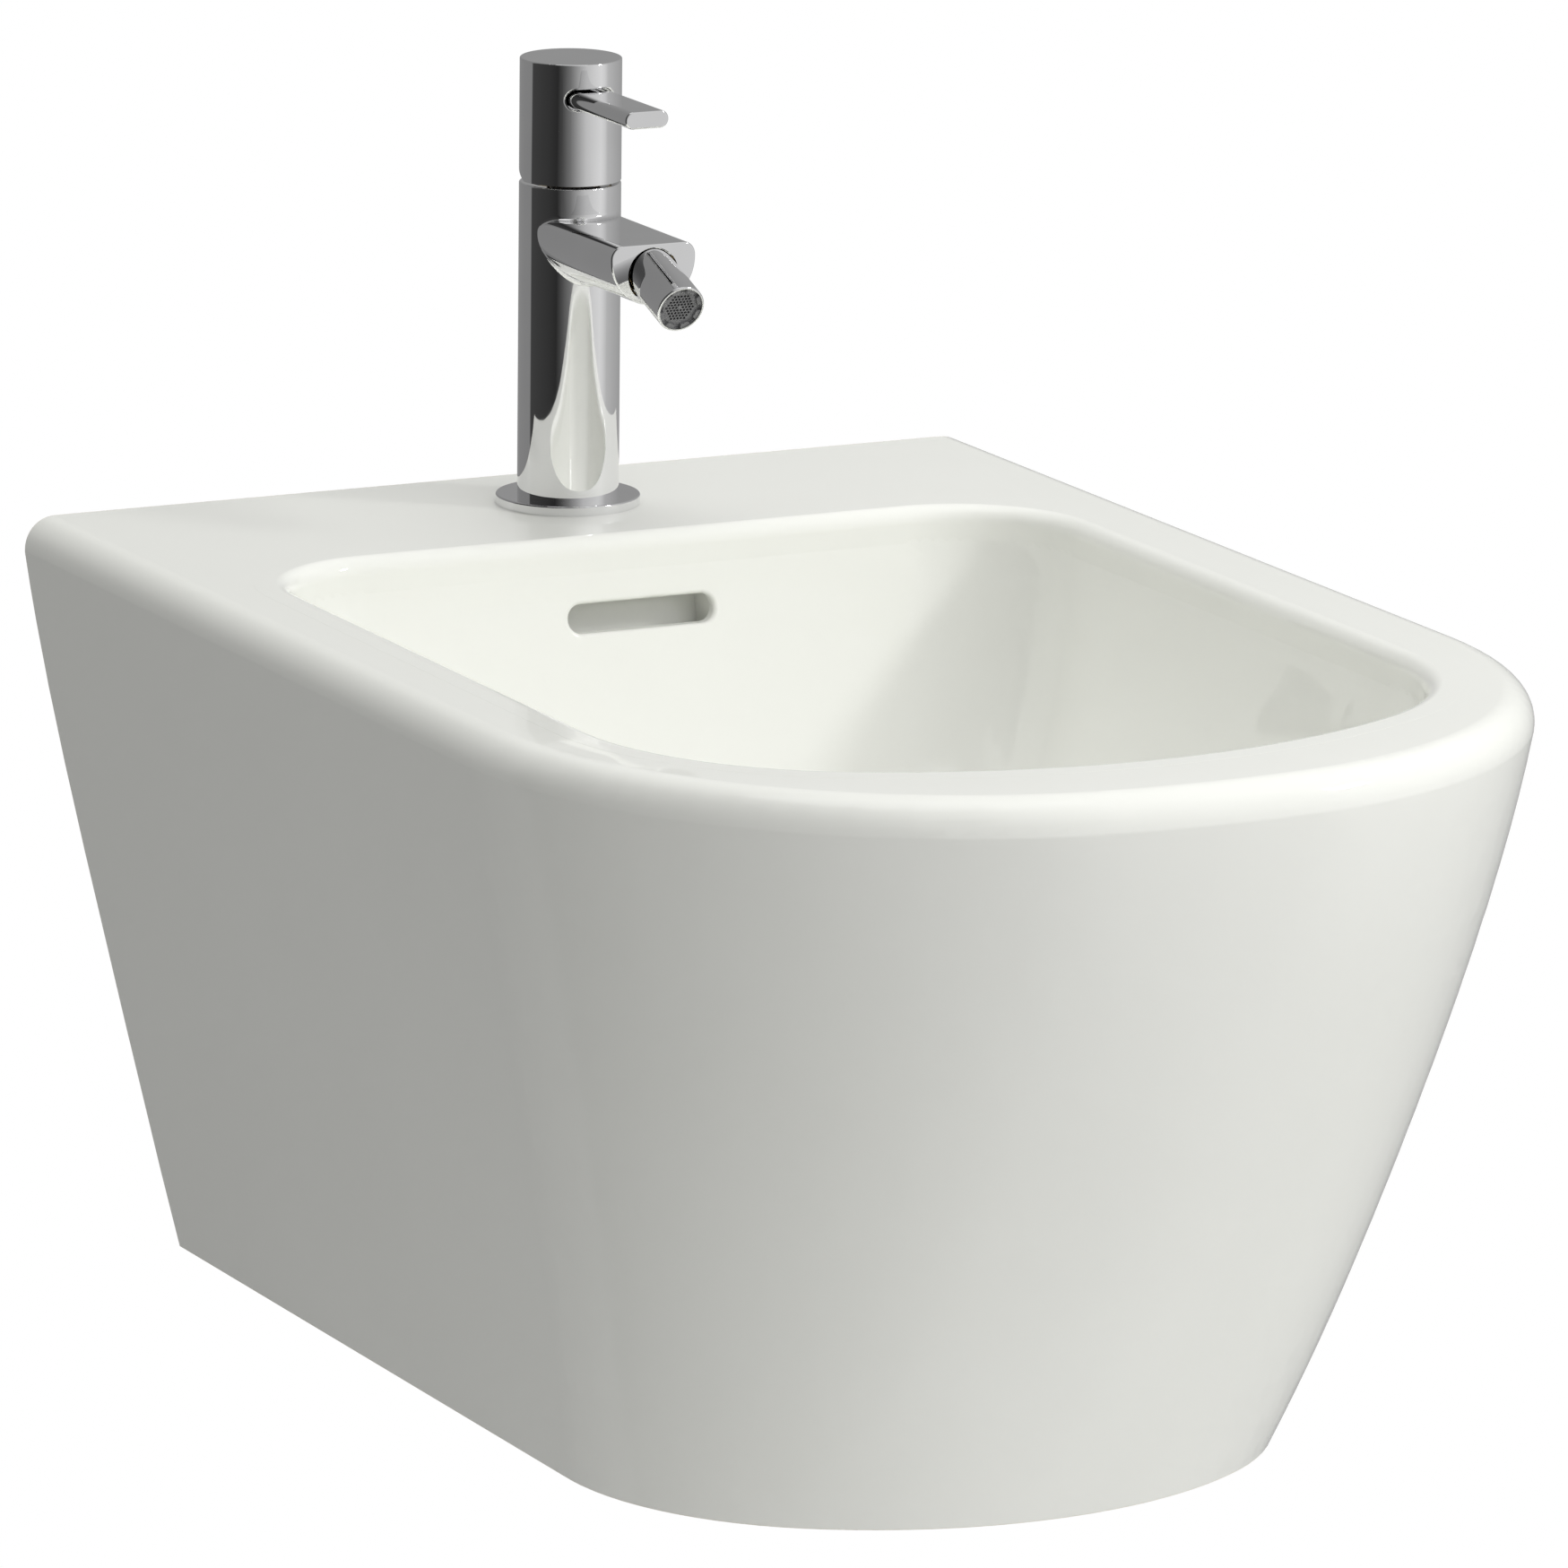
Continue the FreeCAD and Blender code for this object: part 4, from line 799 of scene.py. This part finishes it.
    def _floor(self) -> None:
        """Makes the round pale floor under the body, which mirrors do not see."""
        shape = bmesh.new()
        place = Matrix.Translation((*self.floor_centre, self.floor_z))
        bmesh.ops.create_circle(shape, cap_ends=True, segments=self.floor_segments, radius=self.floor_radius,
                                matrix=place)
        material = bpy.data.materials.new("pale_floor")
        material.use_nodes = True
        shader = material.node_tree.nodes["Principled BSDF"]
        shade = self.floor_shade
        shader.inputs["Base Color"].default_value = (shade, shade, shade, 1.0)
        shader.inputs["Roughness"].default_value = self.floor_roughness
        floor = self._stage_piece("floor", shape, material)
        floor.visible_glossy = False

    def _surround(self) -> None:
        """Makes the band around the set that only mirrors see."""
        shape = bmesh.new()
        foot = Matrix.Translation((0.0, 0.0, self.surround_low))
        bmesh.ops.create_circle(shape, cap_ends=False, segments=self.surround_segments,
                                radius=self.surround_radius, matrix=foot)
        raised = bmesh.ops.extrude_edge_only(shape, edges=shape.edges[:])
        upper = [item for item in raised["geom"] if isinstance(item, bmesh.types.BMVert)]
        bmesh.ops.translate(shape, verts=upper, vec=(0.0, 0.0, self.surround_high - self.surround_low))
        piece = self._stage_piece("surround", shape, self._surround_material())
        piece.visible_camera = False
        piece.visible_diffuse = False
        piece.visible_shadow = False
        piece.visible_transmission = False
        piece.visible_volume_scatter = False

    def _surround_material(self) -> bpy.types.Material:
        """Makes the band's glow, which changes with the angle around the set.

        Returns:
            The new material.
        """
        material = bpy.data.materials.new("surround_glow")
        material.use_nodes = True
        tree = material.node_tree
        tree.nodes.remove(tree.nodes["Principled BSDF"])
        place = tree.nodes.new("ShaderNodeTexCoord")
        around = tree.nodes.new("ShaderNodeTexGradient")
        around.gradient_type = "RADIAL"
        tree.links.new(place.outputs["Object"], around.inputs["Vector"])
        ramp = tree.nodes.new("ShaderNodeValToRGB")
        # The gradient runs from 0 to 1 once round the set and is one half along +X.
        facing = math.degrees(math.atan2(self.camera_place[1], self.camera_place[0])) / 360.0 + 0.5
        stops = sorted(((facing + angle / 360.0) % 1.0, level) for angle, level in self.surround_levels)
        first, last = stops[0], stops[-1]
        gap = 1.0 - last[0] + first[0]
        seam = last[1] + (first[1] - last[1]) * (1.0 - last[0]) / gap
        stops = [(0.0, seam)] + stops + [(1.0, seam)]
        elements = ramp.color_ramp.elements
        elements[0].position, elements[1].position = stops[0][0], stops[-1][0]
        elements[0].color = (seam, seam, seam, 1.0)
        elements[1].color = (seam, seam, seam, 1.0)
        for position, level in stops[1:-1]:
            elements.new(position).color = (level, level, level, 1.0)
        tree.links.new(around.outputs["Fac"], ramp.inputs["Fac"])
        glow = tree.nodes.new("ShaderNodeEmission")
        tree.links.new(ramp.outputs["Color"], glow.inputs["Color"])
        tree.links.new(glow.outputs["Emission"], tree.nodes["Material Output"].inputs["Surface"])
        return material

    def _camera(self) -> None:
        """Sets up the camera at the photograph's viewing angle, and the standard view of colours."""
        data = bpy.data.cameras.new("camera")
        data.sensor_width = self.picture_width
        data.lens = self.lens
        data.clip_start, data.clip_end = self.camera_reach
        camera = bpy.data.objects.new("camera", data)
        right = Vector(self.camera_right).normalized()
        up = -Vector(self.camera_down).normalized()
        back = right.cross(up)
        turn = Matrix((right, up, back)).transposed().to_4x4()
        camera.matrix_world = Matrix.Translation(Vector(self.camera_place)) @ turn
        bpy.context.scene.collection.objects.link(camera)
        bpy.context.scene.camera = camera
        bpy.context.scene.view_settings.view_transform = "Standard"


def main() -> None:
    """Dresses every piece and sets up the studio."""
    logging.basicConfig(level=logging.INFO, format="%(name)s: %(message)s")
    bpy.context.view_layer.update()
    for group in CAD_GROUPS:
        group.dress()
    MouthEdge().build()
    for thread in THREADS:
        thread.build()
    Studio().build()


if __name__ == "__main__":
    main()
